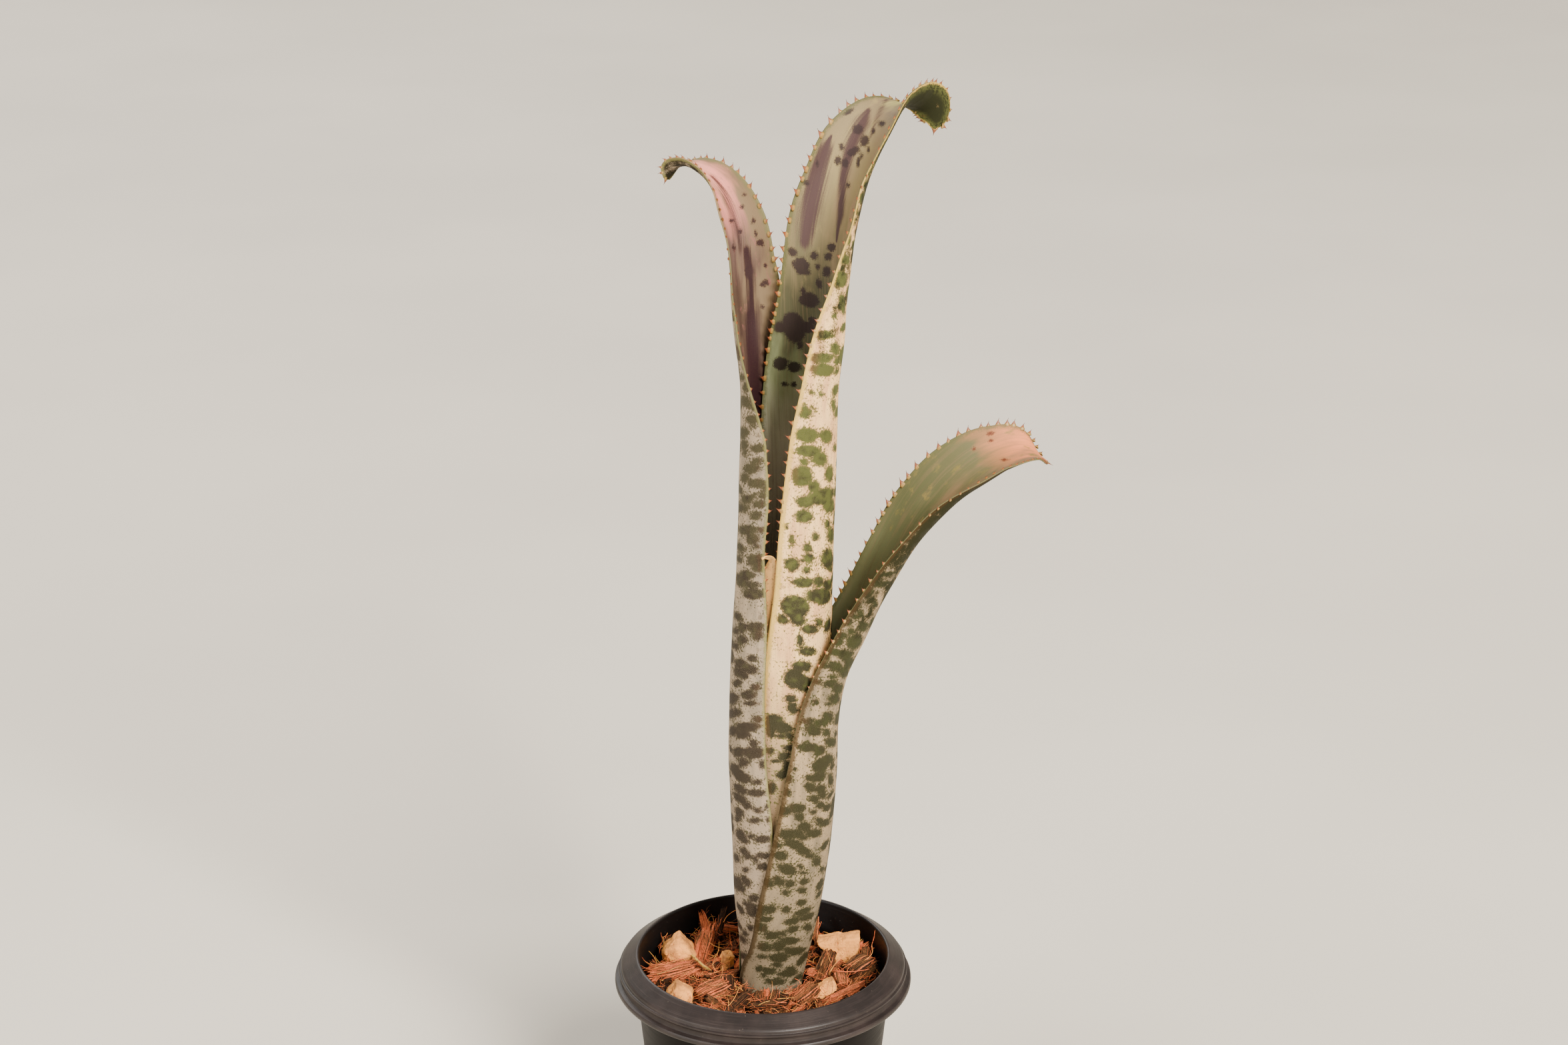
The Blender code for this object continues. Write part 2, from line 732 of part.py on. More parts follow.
def main():
    for obj in list(bpy.data.objects):
        bpy.data.objects.remove(obj, do_unlink=True)
    make_pot(finish("black plastic", (0.02, 0.019, 0.018), 0.45))
    husk = finish("coconut husk", (0.42, 0.19, 0.08), 0.85)
    make_filling(husk, finish("pumice", (0.72, 0.62, 0.47), 0.9))
    make_stock(finish("pale stem", (0.5, 0.45, 0.3), 0.7))
    scurfy = finish("scurfy leaf", (0.45, 0.46, 0.33), 0.6)
    dry = finish("dry leaf", (0.6, 0.5, 0.35), 0.8)
    for name, leaf in LEAVES.items():
        make_leaf(name, leaf, dry if name == "leaf_inner" else scurfy)


if __name__ == "__main__":
    main()
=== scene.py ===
"""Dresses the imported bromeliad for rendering: detailed leaves, spines, filling, stones and pot.

Sizes are in millimetres until mesh_piece turns them into metres, in the CAD model's frame.
"""

import json
import math
import random

import bmesh
import bpy
import numpy as np
from mathutils import Matrix, Vector, noise

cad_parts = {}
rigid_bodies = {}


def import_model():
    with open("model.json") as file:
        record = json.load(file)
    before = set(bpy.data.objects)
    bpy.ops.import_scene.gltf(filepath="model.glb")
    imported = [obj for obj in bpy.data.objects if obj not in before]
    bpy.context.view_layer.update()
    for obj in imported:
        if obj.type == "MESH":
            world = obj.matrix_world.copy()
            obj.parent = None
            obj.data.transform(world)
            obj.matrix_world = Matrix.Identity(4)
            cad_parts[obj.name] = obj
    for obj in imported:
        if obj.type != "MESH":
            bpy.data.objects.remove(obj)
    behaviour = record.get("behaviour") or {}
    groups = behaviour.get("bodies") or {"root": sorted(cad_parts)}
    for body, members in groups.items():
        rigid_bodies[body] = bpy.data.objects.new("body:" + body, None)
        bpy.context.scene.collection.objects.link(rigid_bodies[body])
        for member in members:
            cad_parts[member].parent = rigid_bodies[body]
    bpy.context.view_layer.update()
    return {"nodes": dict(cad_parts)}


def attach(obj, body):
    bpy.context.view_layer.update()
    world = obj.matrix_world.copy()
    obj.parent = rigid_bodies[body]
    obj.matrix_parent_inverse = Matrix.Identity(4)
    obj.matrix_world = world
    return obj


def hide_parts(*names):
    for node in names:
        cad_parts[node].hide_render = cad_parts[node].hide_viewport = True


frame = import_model()

MM = 0.001

# The photograph's camera
PHOTO_WIDTH = 2352
PHOTO_HEIGHT = 1568
LENS = 70.0
SENSOR = 36.0
CAMERA_PLACE = (7.8, -1003.7, 640.0)
CAMERA_TURN = 69.5
PIXELS_PER_MM = 4.15
LEAST_SEEN = 0.3

# Pot and filling
POT_HEIGHT = 95.0
POT_BASE_RADIUS = 38.8
POT_RIM_RADIUS = 55.0
POT_MOUTH_RADIUS = 46.0
POT_WALL = 1.3
POT_FLOOR = 2.0
POT_SEGMENTS = 180
DRAIN_COUNT = 6
DRAIN_RADIUS = 3.6
DRAIN_RING_RADIUS = 26.0
DRAIN_SEGMENTS = 40
POT_SHARP_ANGLE = 38
BED_LEVEL = 83.5
BED_RADIUS = 45.2
PLANT_X = 2.6
PLANT_RADIUS = 12.2
CHIP_SEED = 5
SMALL_CHIPS = 215
LOOSE_FIBRES = 900
FIBRE_STEPS = 6
STONE_ROUNDNESS = 12
STONE_SUBDIVISIONS = 6
WALL_TOP = 83.0
BED_RINGS = 44
BED_SEGMENTS = 150
BED_HOLE_FLOOR = 60.0
BED_HOLE_GAP = 0.6
BED_TONE = 0.15
CHIP_STEP = 1.0
CHIP_RIDGE = 0.8
STRAW_TONE = 1.4
TONE_SEED = 700
FIBRE_REACH = 43.0
SHOWN_FIBRE_RADIUS = 0.22
# Between which heights the pot's wall turns dull and takes painted shade under its rim, and between which
# radii inside it the wall takes painted shade too
DULL_AND_SHADED_HEIGHTS = (85.0, 82.0)
SHADED_RADII = (46.476, 46.152)

# Leaves
LEAF_THICKNESS = 0.8
LEAF_SPACING = 1.4
LEAF_FOOT = 74.0
SHEATH_STEP = 8.0
SAMPLE_STEP = 0.25
ROW_SAMPLES = 3
COLUMN_WIDTH = 0.95
SPINE_PITCH = 4.1
TIP_SPINE = 2.6
# Over this run from the tip the spines stand closer and closer
CLOSE_RUN = 45.0
LEAF_SEED = 21
SPINE_RINGS = (-0.3, 0.0, 0.2, 0.45, 0.72, 1.0)
SPINE_SIDES = 6
# The leaf's texture coordinates are in centimetres
UV_UNIT = 10.0
# How far coarse and fine grain move the edge of a blotch
EDGE_GRAINS = (2.0, 3.4)
# How long the spines of each leaf are along its two margins: half way up, near the top and at the tip
SPINE_LENGTHS = {
    "leaf_tall": ((2.2, 1.1, 1.9), (2.0, 2.2, 1.9)),
    "leaf_left": ((1.8, 2.3, 1.5), (1.5, 1.1, 1.3)),
    "leaf_right": ((1.5, 1.1, 1.0), (1.8, 2.2, 1.9)),
}

# How bright the studio light makes a white face, for choosing surface colours
STUDIO_LIGHT = 2.4
# Each light: place, size, power and tint, in metres and watts
LIGHTS = {
    "key": ((1.8, -2.8, 2.6), (1.6, 1.6), 440, (1.0, 0.94, 0.86)),
    "fill": ((-3.2, -2.2, 1.8), (2.4, 2.4), 130, (1.0, 0.97, 0.93)),
    "back": ((-1.2, 2.8, 2.6), (2.0, 1.6), 72, (1.0, 0.98, 0.95)),
}
LIGHT_AIM = (0.01, 0, 0.2)
SKY = (1.0, 0.98, 0.95, 1)
SKY_STRENGTH = 0.35
# The floor in metres: how far it is flat, the radius of its bend and the height of its wall
FLOOR_RADIUS = 5.0
FLOOR_BEND = 1.5
FLOOR_WALL = 1.2
FLOOR_STEPS = 12
FLOOR_SEGMENTS = 96

# The rolled leaves share one tube: height, middle along X, radius of the left leaf's outer face
TUBE = [
    (70, 2.0, 9.6), (84, 2.6, 10.5), (99, 3.8, 12.4), (117, 4.7, 15.0), (147, 6.2, 17.6), (184, 6.7, 18.9),
    (212, 7.4, 18.7), (235, 8.2, 18.1), (268, 9.4, 17.7), (300, 10.1, 17.6), (340, 10.4, 17.6),
]

# Each leaf: its layer out from the left leaf, the run of midrib over which it follows the tube, the
# height above which it has spines, and sheath rows of height and the bearings of its two margins. Its
# blade rows go on from there with the midrib's x, y, z, its bearing, its roll, the channel's radius
# and the half width.
LEAVES = {
    "leaf_right": {
        "layer": 1.25,
        "tube_run": 130,
        "spines_from": 185,
        "sheath": [
            (LEAF_FOOT, -168, 168), (87, -154, 160), (102, -126, 152), (113, -118, 146), (130, -107, 135),
            (150, -97, 120), (168, -88, 105), (188, -78, 88),
        ],
        "blade": [
            (30.3, 1.5, 205, 2, 0, 19.0, 25.5), (36.5, 2, 220, 0, 0, 17.5, 22.5),
            (43.3, 3.5, 235, 2, 0, 15.5, 20), (51.5, 6, 250, 8, 3, 14, 18.5), (61, 9, 264, 15, 8, 13.5, 18),
            (72, 12, 275.5, 22, 14, 14, 17), (84, 15, 282.5, 26, 16, 14, 14.5),
            (95, 17, 284, 28, 16, 14, 10), (101, 18, 280.5, 28, 12, 14, 1.5),
        ],
    },
    "leaf_left": {
        "layer": 0,
        "tube_run": 230,
        "spines_from": 221,
        "sheath": [
            (LEAF_FOOT, 20, 262), (120, 25, 262), (150, 28, 262), (175, 30, 255), (200, 30, 251),
            (235, 30, 249), (257, 38, 243), (281, 52, 245.5), (300, 75, 240),
        ],
        "blade": [
            (-5.4, 9.0, 318, 151, 0, 17.4, 19.2), (-5.9, 15.0, 335, 138, 0, 14, 15.4),
            (-6.8, 17.4, 352, 126, 0, 11, 12.7), (-8.2, 19.6, 368, 116, 0, 8.6, 10.4),
            (-12.8, 22, 378, 118, 4, 8, 9), (-19.8, 25.4, 384, 136, 10, 8.5, 8),
            (-26.3, 28, 386, 150, 16, 9, 6.8), (-30.8, 30, 384.5, 155, 18, 8, 5.2),
            (-32.8, 31, 380.5, 158, 18, 8, 1.2),
        ],
    },
    "leaf_tall": {
        "layer": -1,
        "tube_run": 250,
        "spines_from": 248,
        "sheath": [
            (LEAF_FOOT, -75, 200), (84, -80, 200), (150, -112, 170), (200, -117, 150), (222, -112.5, 144.5),
            (240, -105.5, 140), (265, -102, 132), (290, -95, 130), (300, -91, 130),
        ],
        "blade": [
            (25.6, 6.9, 315, 24, 0, 15.8, 29.4), (26.8, 9, 330, 28, 0, 15, 27.8),
            (27, 12.6, 345, 34, 0, 14.5, 24), (27.6, 17.4, 362, 45, 0, 14.2, 21.5),
            (31.5, 22.4, 380, 47, 0, 14, 19), (36.5, 26.6, 393, 47, 2, 14, 17),
            (43, 32.5, 401, 47, -6, 13, 13.8), (49.8, 38, 404.5, 48, -22, 11, 11),
            (56, 43, 404.5, 50, -38, 10, 9.3), (60.3, 46.5, 402, 52, -46, 9, 8),
            (61.3, 48, 397.5, 52, -48, 8, 5.5), (60.8, 48, 394.5, 52, -48, 8, 1.2),
        ],
    },
    "leaf_inner": {
        "layer": -2,
        "tube_run": 176,
        "turn_run": 3,
        "sheath": [
            (LEAF_FOOT, -180, 60), (100, -170, 40), (150, -165, -10), (200, -150, -70), (235, -130, -90),
            (250, -125, -97),
        ],
        "blade": [
            (3.6, -14.3, 253.6, -112, 0, 12, 2.4), (3.7, -15.3, 256.2, -112, 15, 8, 1.3),
            (2.9, -16.7, 257.8, -112, 55, 6, 0.8), (1.5, -17.4, 258.1, -112, 85, 5, 0.6),
            (0.2, -17.4, 257.2, -112, 90, 5, 0.4),
        ],
    },
}

# Main blotches of the outer faces, read off the photograph: the pixel at the middle, the width and
# height that show, in millimetres, and, where it slants, how many degrees its right end hangs down
OUTER_MARKS = {
    "leaf_tall": [
        (1260, 417, 5.6, 6), (1268, 390, 3.6, 3.6), (1268, 356, 2.6, 5), (1264, 456, 2, 7),
        (1251, 472, 1.4, 1.4), (1235, 504, 7.4, 2.8), (1254, 522, 3, 4), (1232, 539, 9, 3.4),
        (1235, 555, 8.6, 4.2), (1218, 588, 1.4, 1.2), (1231, 593, 1.2, 1), (1251, 608, 1.4, 3.4),
        (1205, 617, 5.6, 4.2), (1211, 653, 8, 5), (1240, 656, 4.2, 4.2), (1213, 677, 8.4, 3.8),
        (1230, 690, 5, 4.6), (1206, 693, 2.4, 2), (1204, 715, 7, 7), (1220, 729, 4, 4.2),
        (1244, 710, 2.4, 5.4), (1234, 744, 10, 5, -20), (1209, 754, 6, 3.8), (1207, 775, 6, 4.2),
        (1244, 758, 4, 5), (1178, 791, 1.2, 1.2), (1186, 808, 1.5, 2.8), (1223, 806, 2.4, 2.4),
        (1242, 788, 1.6, 2.4), (1211, 823, 2.8, 2.8), (1215, 838, 3.4, 3.2), (1204, 842, 2, 1),
        (1187, 849, 5, 4.4), (1210, 857, 2, 2.2), (1243, 840, 3.8, 7.4), (1248, 804, 2, 5),
        (1205, 875, 7.4, 3.2), (1228, 874, 3.4, 3.4), (1242, 879, 2.8, 4), (1232, 896, 8.4, 5.4),
        (1192, 911, 10, 8), (1173, 928, 3.4, 3.2), (1198, 931, 5, 2.6), (1215, 944, 5.6, 3.2),
        (1200, 960, 2.4, 3.6), (1230, 935, 2, 2.8), (1211, 979, 5.6, 2.6), (1204, 1000, 6.6, 3.6),
        (1190, 1019, 7, 7), (1205, 1027, 5.6, 5.6), (1184, 1050, 3.6, 2.8), (1189, 1062, 3.6, 3.6),
        (1161, 1085, 7, 5.4), (1176, 1092, 5.6, 3.4), (1173, 1104, 2.6, 1.4), (1184, 1105, 2, 2),
        (1155, 1098, 3, 4), (1155, 1128, 2.2, 2.2), (1185, 1122, 4, 2), (1176, 1135, 4, 2.4, -20),
        (1163, 1143, 4, 1), (1182, 1150, 2.6, 5), (1173, 1162, 3.4, 2.6), (1157, 1183, 3, 4),
    ],
    "leaf_left": [
        (1113, 565, 1.6, 2), (1118, 581, 2.2, 3.2), (1117, 604, 4.4, 3, 50), (1132, 613, 2.6, 2),
        (1128, 629, 4.4, 3), (1130, 639, 2, 1), (1113, 648, 2.4, 3.2), (1115, 667, 2.2, 3.2),
        (1117, 680, 1.2, 1.4), (1137, 673, 5.2, 2.8), (1135, 690, 2.8, 2), (1127, 704, 4.8, 3.4),
        (1117, 718, 2.8, 2.8), (1134, 726, 6.2, 3), (1148, 732, 2.2, 2), (1118, 749, 3.6, 2.8),
        (1131, 744, 2, 1.4), (1144, 743, 2.8, 2), (1139, 756, 4.4, 2.4), (1118, 764, 1.6, 2.2),
        (1109, 762, 2, 3), (1133, 775, 3.8, 2.8), (1120, 795, 6.6, 3.2), (1143, 794, 2, 1.4),
        (1129, 808, 4.4, 3.4), (1110, 821, 3.2, 2.2, 50), (1134, 821, 2, 1.4), (1133, 840, 4.8, 4),
        (1137, 850, 4.4, 2.8), (1108, 838, 1.6, 2.2), (1120, 863, 5.4, 3), (1109, 872, 4.8, 3.2, 60),
        (1128, 878, 4.8, 2.4), (1130, 891, 7.6, 3.6), (1106, 926, 3.2, 2, 55), (1113, 943, 3, 3.4),
        (1132, 940, 6.2, 3.4), (1136, 955, 3.4, 3), (1112, 961, 3.4, 2.8), (1103, 948, 1.6, 2),
        (1104, 970, 2.4, 1.6, 60), (1126, 988, 3, 2), (1111, 995, 4.4, 2.8, 20), (1125, 1005, 5.4, 3.2, 15),
        (1106, 1009, 3.4, 3, 30), (1116, 1015, 2.4, 2, 40), (1106, 1025, 2.6, 2.4), (1131, 1031, 3.2, 2),
        (1121, 1043, 5, 3), (1098, 1048, 3, 4), (1126, 1057, 4.8, 1.4), (1104, 1069, 2.4, 2.4),
        (1096, 1070, 2.4, 3), (1137, 1079, 3.4, 2), (1120, 1092, 8, 3.4), (1099, 1096, 3, 3),
        (1113, 1103, 4.4, 2.4), (1131, 1114, 2.4, 2), (1107, 1130, 3.6, 3.2), (1129, 1130, 8, 4),
        (1115, 1144, 3.4, 2.6), (1144, 1148, 2.8, 2.6), (1101, 1153, 3.8, 3, 50),
        (1112, 1166, 6.6, 3.4, 30), (1138, 1173, 2.2, 1.4), (1110, 1184, 5, 2.4, 30),
        (1133, 1190, 5.6, 2.4), (1110, 1197, 5.2, 2.4, 35), (1119, 1208, 3, 2.2, 30),
        (1135, 1216, 2.8, 1.6), (1150, 1209, 1.4, 1.4), (1107, 1218, 3.2, 2.4, 55), (1131, 1232, 3.4, 1.6),
        (1152, 1231, 1.6, 1.4), (1106, 1229, 1.6, 1.8), (1109, 1252, 3.8, 2.8, 50), (1117, 1261, 2.2, 1.6),
        (1127, 1255, 1.6, 1.2), (1144, 1258, 5.6, 2.2), (1117, 1278, 2.8, 2, 30), (1123, 1285, 2, 1.4),
        (1146, 1284, 5, 1.8), (1135, 1291, 1.4, 1.6), (1104, 1287, 2.4, 1.6, 60), (1143, 1301, 3.8, 2.2),
        (1118, 1306, 2, 1.6), (1118, 1322, 3.8, 2.2, 45), (1105, 1324, 4.6, 3, 60),
        (1112, 1333, 2.4, 1.8, 45), (1130, 1349, 3, 2.2), (1128, 1365, 4, 4.4), (1118, 1357, 2, 1.4, 40),
        (1125, 1393, 1.6, 1.6), (1118, 1400, 1.6, 1.4, 40), (1114, 1409, 2.6, 1.6, 50),
        (1113, 1434, 2, 1.4, 40),
    ],
    "leaf_right": [
        (1302, 888, 4, 4), (1324, 878, 6, 1.6, -10), (1330, 862, 6, 1.4, -10), (1312, 907, 2, 2),
        (1310, 868, 2.6, 3), (1281, 908, 3.4, 3.2), (1283, 927, 2.6, 1.6), (1290, 922, 2.2, 2.4),
        (1273, 937, 1.6, 2), (1278, 947, 3, 1.8), (1297, 937, 3.4, 1.8), (1295, 944, 3, 1.8),
        (1264, 952, 2.8, 2), (1256, 964, 4, 2.8), (1282, 964, 5.6, 4.4, -20), (1252, 977, 4.4, 2.4),
        (1268, 984, 5.6, 3), (1240, 984, 2, 2), (1275, 995, 3.2, 3.4), (1236, 1000, 2.2, 2),
        (1253, 1001, 5, 3), (1267, 1010, 3.4, 3.4), (1250, 1016, 3, 1.2), (1246, 1026, 5.4, 2, -15),
        (1258, 1032, 3.8, 3, -20), (1226, 1024, 2.8, 1.6), (1252, 1048, 3.8, 3), (1224, 1052, 1.6, 1.6),
        (1243, 1056, 1.6, 1), (1214, 1082, 4.4, 2), (1232, 1084, 5.4, 2.2), (1242, 1076, 3.4, 3.4),
        (1222, 1095, 5, 3.4), (1240, 1098, 2.4, 2.4), (1211, 1121, 6.8, 3), (1230, 1126, 4.2, 3, -30),
        (1247, 1113, 3.4, 3), (1233, 1148, 6.4, 4.6, -40), (1243, 1138, 3.4, 3.4), (1228, 1165, 5, 3, -20),
        (1213, 1168, 2.4, 2), (1215, 1182, 3.4, 3.2), (1231, 1183, 3.4, 3, -20), (1235, 1194, 2.4, 2),
        (1222, 1199, 3, 2.4), (1232, 1208, 2.4, 2.4), (1195, 1213, 5.8, 3), (1219, 1218, 2, 1.6),
        (1200, 1227, 3.2, 2.6), (1229, 1231, 2.4, 2), (1237, 1234, 4, 2, -20), (1206, 1240, 4, 3.2),
        (1180, 1252, 5.4, 3.4), (1197, 1252, 4.4, 2.8), (1222, 1250, 5.4, 2.8, -10), (1205, 1258, 2.4, 1.6),
        (1193, 1268, 6, 3.2, 10), (1206, 1275, 5, 2.8, 15), (1214, 1284, 3.4, 1.6), (1170, 1284, 5.2, 3),
        (1167, 1267, 2.4, 2), (1227, 1292, 3, 2.2, -60), (1245, 1170, 1.6, 4), (1192, 1154, 1, 1),
        (1183, 1170, 2.4, 2), (1181, 1190, 2, 2), (1178, 1217, 4.4, 3), (1181, 1304, 6.4, 3.4, 15),
        (1200, 1301, 1.4, 1.8), (1207, 1311, 1.6, 1), (1165, 1317, 2, 1.6), (1168, 1324, 3.4, 2.6),
        (1185, 1325, 3, 2.4), (1208, 1322, 3.2, 1.8, -20), (1152, 1325, 3, 2.8), (1203, 1335, 2.8, 2, -10),
        (1176, 1340, 2, 1.4), (1201, 1355, 3.2, 2, -15), (1155, 1365, 3.8, 2.8), (1180, 1366, 2.8, 2),
        (1143, 1365, 2.4, 3.4), (1204, 1368, 6, 2, -25), (1147, 1379, 4.2, 1.8), (1188, 1383, 5.2, 2, -10),
        (1210, 1376, 5, 2, -25), (1142, 1392, 3.6, 2.4, 25), (1189, 1395, 4, 2, -15),
        (1174, 1400, 2.4, 1.4), (1157, 1403, 4.8, 2.4), (1212, 1391, 2.4, 2), (1186, 1412, 6.8, 2.2),
        (1168, 1420, 4.4, 3), (1192, 1427, 7, 2.6), (1145, 1422, 4.4, 2.6, 20), (1167, 1438, 6.4, 3.2),
        (1143, 1436, 2.4, 1.2), (1165, 1449, 3, 1.4), (1138, 1454, 2.4, 1.6), (1153, 1456, 4, 1.8, 10),
        (1187, 1455, 3.2, 2.2), (1173, 1462, 3, 1.4), (1147, 1463, 1.4, 1), (1162, 1474, 6.4, 2.2),
        (1184, 1462, 5, 2),
    ],
}

# Spots inside the blades, in the same way
INNER_MARKS = {
    "leaf_tall": [
        (1257, 240, 2.5, 3.2), (1262, 221, 1.8, 2.1), (1268, 246, 2.4, 3), (1280, 226, 5, 2.8, -30),
        (1298, 208, 3, 3), (1295, 216, 2, 1.8), (1288, 193, 3.8, 3.2), (1323, 185, 2.4, 2.2),
        (1273, 168, 4.2, 1.6, -20), (1288, 243, 1.3, 3.4), (1292, 235, 1.2, 1.8), (1272, 276, 1.3, 1.8),
        (1207, 275, 2.4, 2), (1225, 246, 1.3, 2), (1189, 377, 3.5, 3), (1202, 401, 5.6, 6),
        (1190, 396, 2, 1.8), (1222, 384, 2.8, 3), (1247, 373, 3, 3), (1243, 386, 3, 2.4),
        (1226, 399, 1.5, 2), (1241, 409, 3, 3.6), (1229, 425, 2, 3.5), (1205, 435, 1.8, 2.6),
        (1214, 449, 7.2, 5), (1188, 481, 7.4, 6.2), (1171, 492, 6.2, 3.8), (1193, 497, 7.4, 7.4),
        (1207, 492, 7, 3.8), (1218, 482, 2.8, 3), (1199, 520, 2.2, 2.4), (1170, 547, 5.4, 4.8),
        (1192, 550, 4.8, 3.8), (1177, 577, 2, 1.6), (1189, 577, 2, 1.8), (1212, 410, 1.6, 1.6),
        (1310, 196, 1.2, 2), (1302, 224, 1, 2),
    ],
    "leaf_left": [
        (1141, 364, 2.6, 2.6), (1130, 331, 1.4, 2.2), (1112, 309, 1.4, 1.4), (1149, 425, 2.6, 1.8),
        (1143, 460, 1.1, 1.4), (1110, 348, 1.2, 1.6), (1134, 350, 1, 1.8), (1144, 428, 1.6, 1.6),
        (1123, 408, 3, 5), (1116, 291, 1.2, 1), (1098, 332, 1.6, 1.4), (1100, 372, 1.2, 2),
        (1148, 398, 1, 1.4),
    ],
    "leaf_right": [(1485, 651, 2.2, 1.2), (1484, 662, 1.4, 1), (1506, 690, 2.4, 1), (1462, 672, 1.4, 1)],
}

# Long stripes inside the blades: strength, and the pixels that they pass through with the width there
STRIPES = {
    "leaf_tall": [
        (
            0.9,
            [(1247, 204, 1), (1237, 226, 6), (1226, 262, 9), (1215, 312, 9), (1209, 350, 7), (1207, 360, 6)],
        ),
        (
            0.8,
            [(1304, 164, 2), (1292, 186, 7), (1274, 226, 6), (1265, 268, 4), (1260, 323, 4), (1254, 362, 1)],
        ),
        (0.5, [(1330, 150, 2), (1318, 172, 3), (1306, 204, 2)]),
    ],
    "leaf_left": [
        (0.5, [(1069, 266, 3), (1091, 300, 6), (1100, 332, 7), (1112, 372, 6)]),
        (0.8, [(1119, 376, 4), (1124, 410, 5), (1126, 445, 4), (1126, 480, 5)]),
        (1.0, [(1126, 470, 5), (1128, 520, 7), (1130, 560, 8), (1135, 620, 8)]),
        (0.4, [(1096, 318, 3), (1103, 370, 5), (1106, 430, 5), (1113, 500, 4)]),
    ],
    "leaf_right": [
        (0.35, [(1290, 880, 5), (1330, 800, 6), (1390, 730, 5)]),
    ],
}


def smooth_curve(knots, values, at):
    """A smooth curve through the values at the knots, read at each place in at."""
    knots, values, at = (np.asarray(a, float) for a in (knots, values, at))
    if values.ndim == 1:
        return smooth_curve(knots, values[:, None], at)[:, 0]
    steps = np.diff(knots)[:, None]
    rise = np.diff(values, axis=0) / steps
    inner = (rise[:-1] * steps[1:] + rise[1:] * steps[:-1]) / (steps[1:] + steps[:-1])
    slope = np.vstack([rise[:1], inner, rise[-1:]])
    i = np.clip(np.searchsorted(knots, at, "right") - 1, 0, len(steps) - 1)
    x = np.clip((at - knots[i])[:, None] / steps[i], 0, 1)
    start = (2 * x**3 - 3 * x**2 + 1) * values[i] + (x**3 - 2 * x**2 + x) * steps[i] * slope[i]
    return start + (3 * x**2 - 2 * x**3) * values[i + 1] + (x**3 - x**2) * steps[i] * slope[i + 1]


def tube_at(heights, layer):
    """The tube's middle along X and the outer radius of a layer, at each height."""
    knots = np.array(TUBE, float)
    middle, radius = smooth_curve(knots[:, 0], knots[:, 1:], heights).T
    return middle, radius + layer * LEAF_SPACING


def leaf_stations(leaf):
    """Rows of midrib x, y, z, bearing, roll, channel radius and half width, from foot to tip."""
    sheath = np.array(leaf["sheath"], float)
    low, high = sheath[0, 0], sheath[-1, 0]
    heights = np.linspace(low, high, int((high - low) / SHEATH_STEP) + 1)
    first, last = smooth_curve(sheath[:, 0], sheath[:, 1:], heights).T
    middle, radius = tube_at(heights, leaf["layer"])
    bearing = np.radians((first + last) / 2)
    columns = [
        middle + radius * np.cos(bearing),
        radius * np.sin(bearing),
        heights,
        np.degrees(bearing),
        0 * heights,
        radius,
        radius * np.radians(last - first) / 2,
    ]
    return np.vstack([np.stack(columns, axis=1), np.array(leaf["blade"], float).reshape(-1, 7)])


def unit(vectors):
    return vectors / np.linalg.norm(vectors, axis=-1, keepdims=True)


def channel_frame(along, bearing, roll):
    """The directions across the leaf and into its channel, where the midrib runs along."""
    level = np.stack([-np.sin(bearing), np.cos(bearing), 0 * bearing], axis=1)
    across = unit(level - (level * along).sum(axis=1, keepdims=True) * along)
    inward = np.cross(along, across)
    turn, lift = np.cos(roll)[:, None], np.sin(roll)[:, None]
    return across * turn + inward * lift, inward * turn - across * lift


def leaf_frames(leaf):
    """Closely spaced samples of the leaf, as a dictionary of arrays."""
    rows = leaf_stations(leaf)
    run = np.concatenate([[0], np.cumsum(np.linalg.norm(np.diff(rows[:, :3], axis=0), axis=1))])
    at = np.arange(0, run[-1], SAMPLE_STEP)
    values = smooth_curve(run, rows, at)
    midrib, radius, half = values[:, :3], values[:, 5], values[:, 6]
    bearing, roll = np.radians(values[:, 3]), np.radians(values[:, 4])
    along = unit(np.gradient(midrib, at, axis=0))
    inward = channel_frame(along, bearing, roll)[1]
    axis_along = unit(np.gradient(midrib + inward * radius[:, None], at, axis=0))
    free = np.clip((at - leaf["tube_run"]) / leaf.get("turn_run", 40), 0, 1)[:, None]
    along = unit(axis_along * (1 - free) + along * free)
    across, inward = channel_frame(along, bearing, roll)
    names = ("run", "midrib", "along", "across", "inward", "radius", "half", "free")
    return dict(zip(names, (at, midrib, along, across, inward, radius, half, free[:, 0])))


def leaf_points(frames, index, u, depth):
    """Points at arc lengths u from the midrib, depth in from the outer face, at the samples index."""
    bend = frames["radius"][index]
    side = ((bend - depth) * np.sin(u / bend))[..., None]
    rise = (bend - (bend - depth) * np.cos(u / bend))[..., None]
    return frames["midrib"][index] + frames["across"][index] * side + frames["inward"][index] * rise


def photo_pixels(points):
    """Where points in millimetres show in the photograph."""
    turn = math.radians(90 - CAMERA_TURN)
    ahead = np.array([0, math.cos(turn), -math.sin(turn)])
    up = np.array([0, math.sin(turn), math.cos(turn)])
    offset = points - np.array(CAMERA_PLACE)
    scale = LENS / SENSOR * PHOTO_WIDTH / (offset @ ahead)
    return np.stack([PHOTO_WIDTH / 2 + offset[..., 0] * scale, PHOTO_HEIGHT / 2 - (offset @ up) * scale], -1)


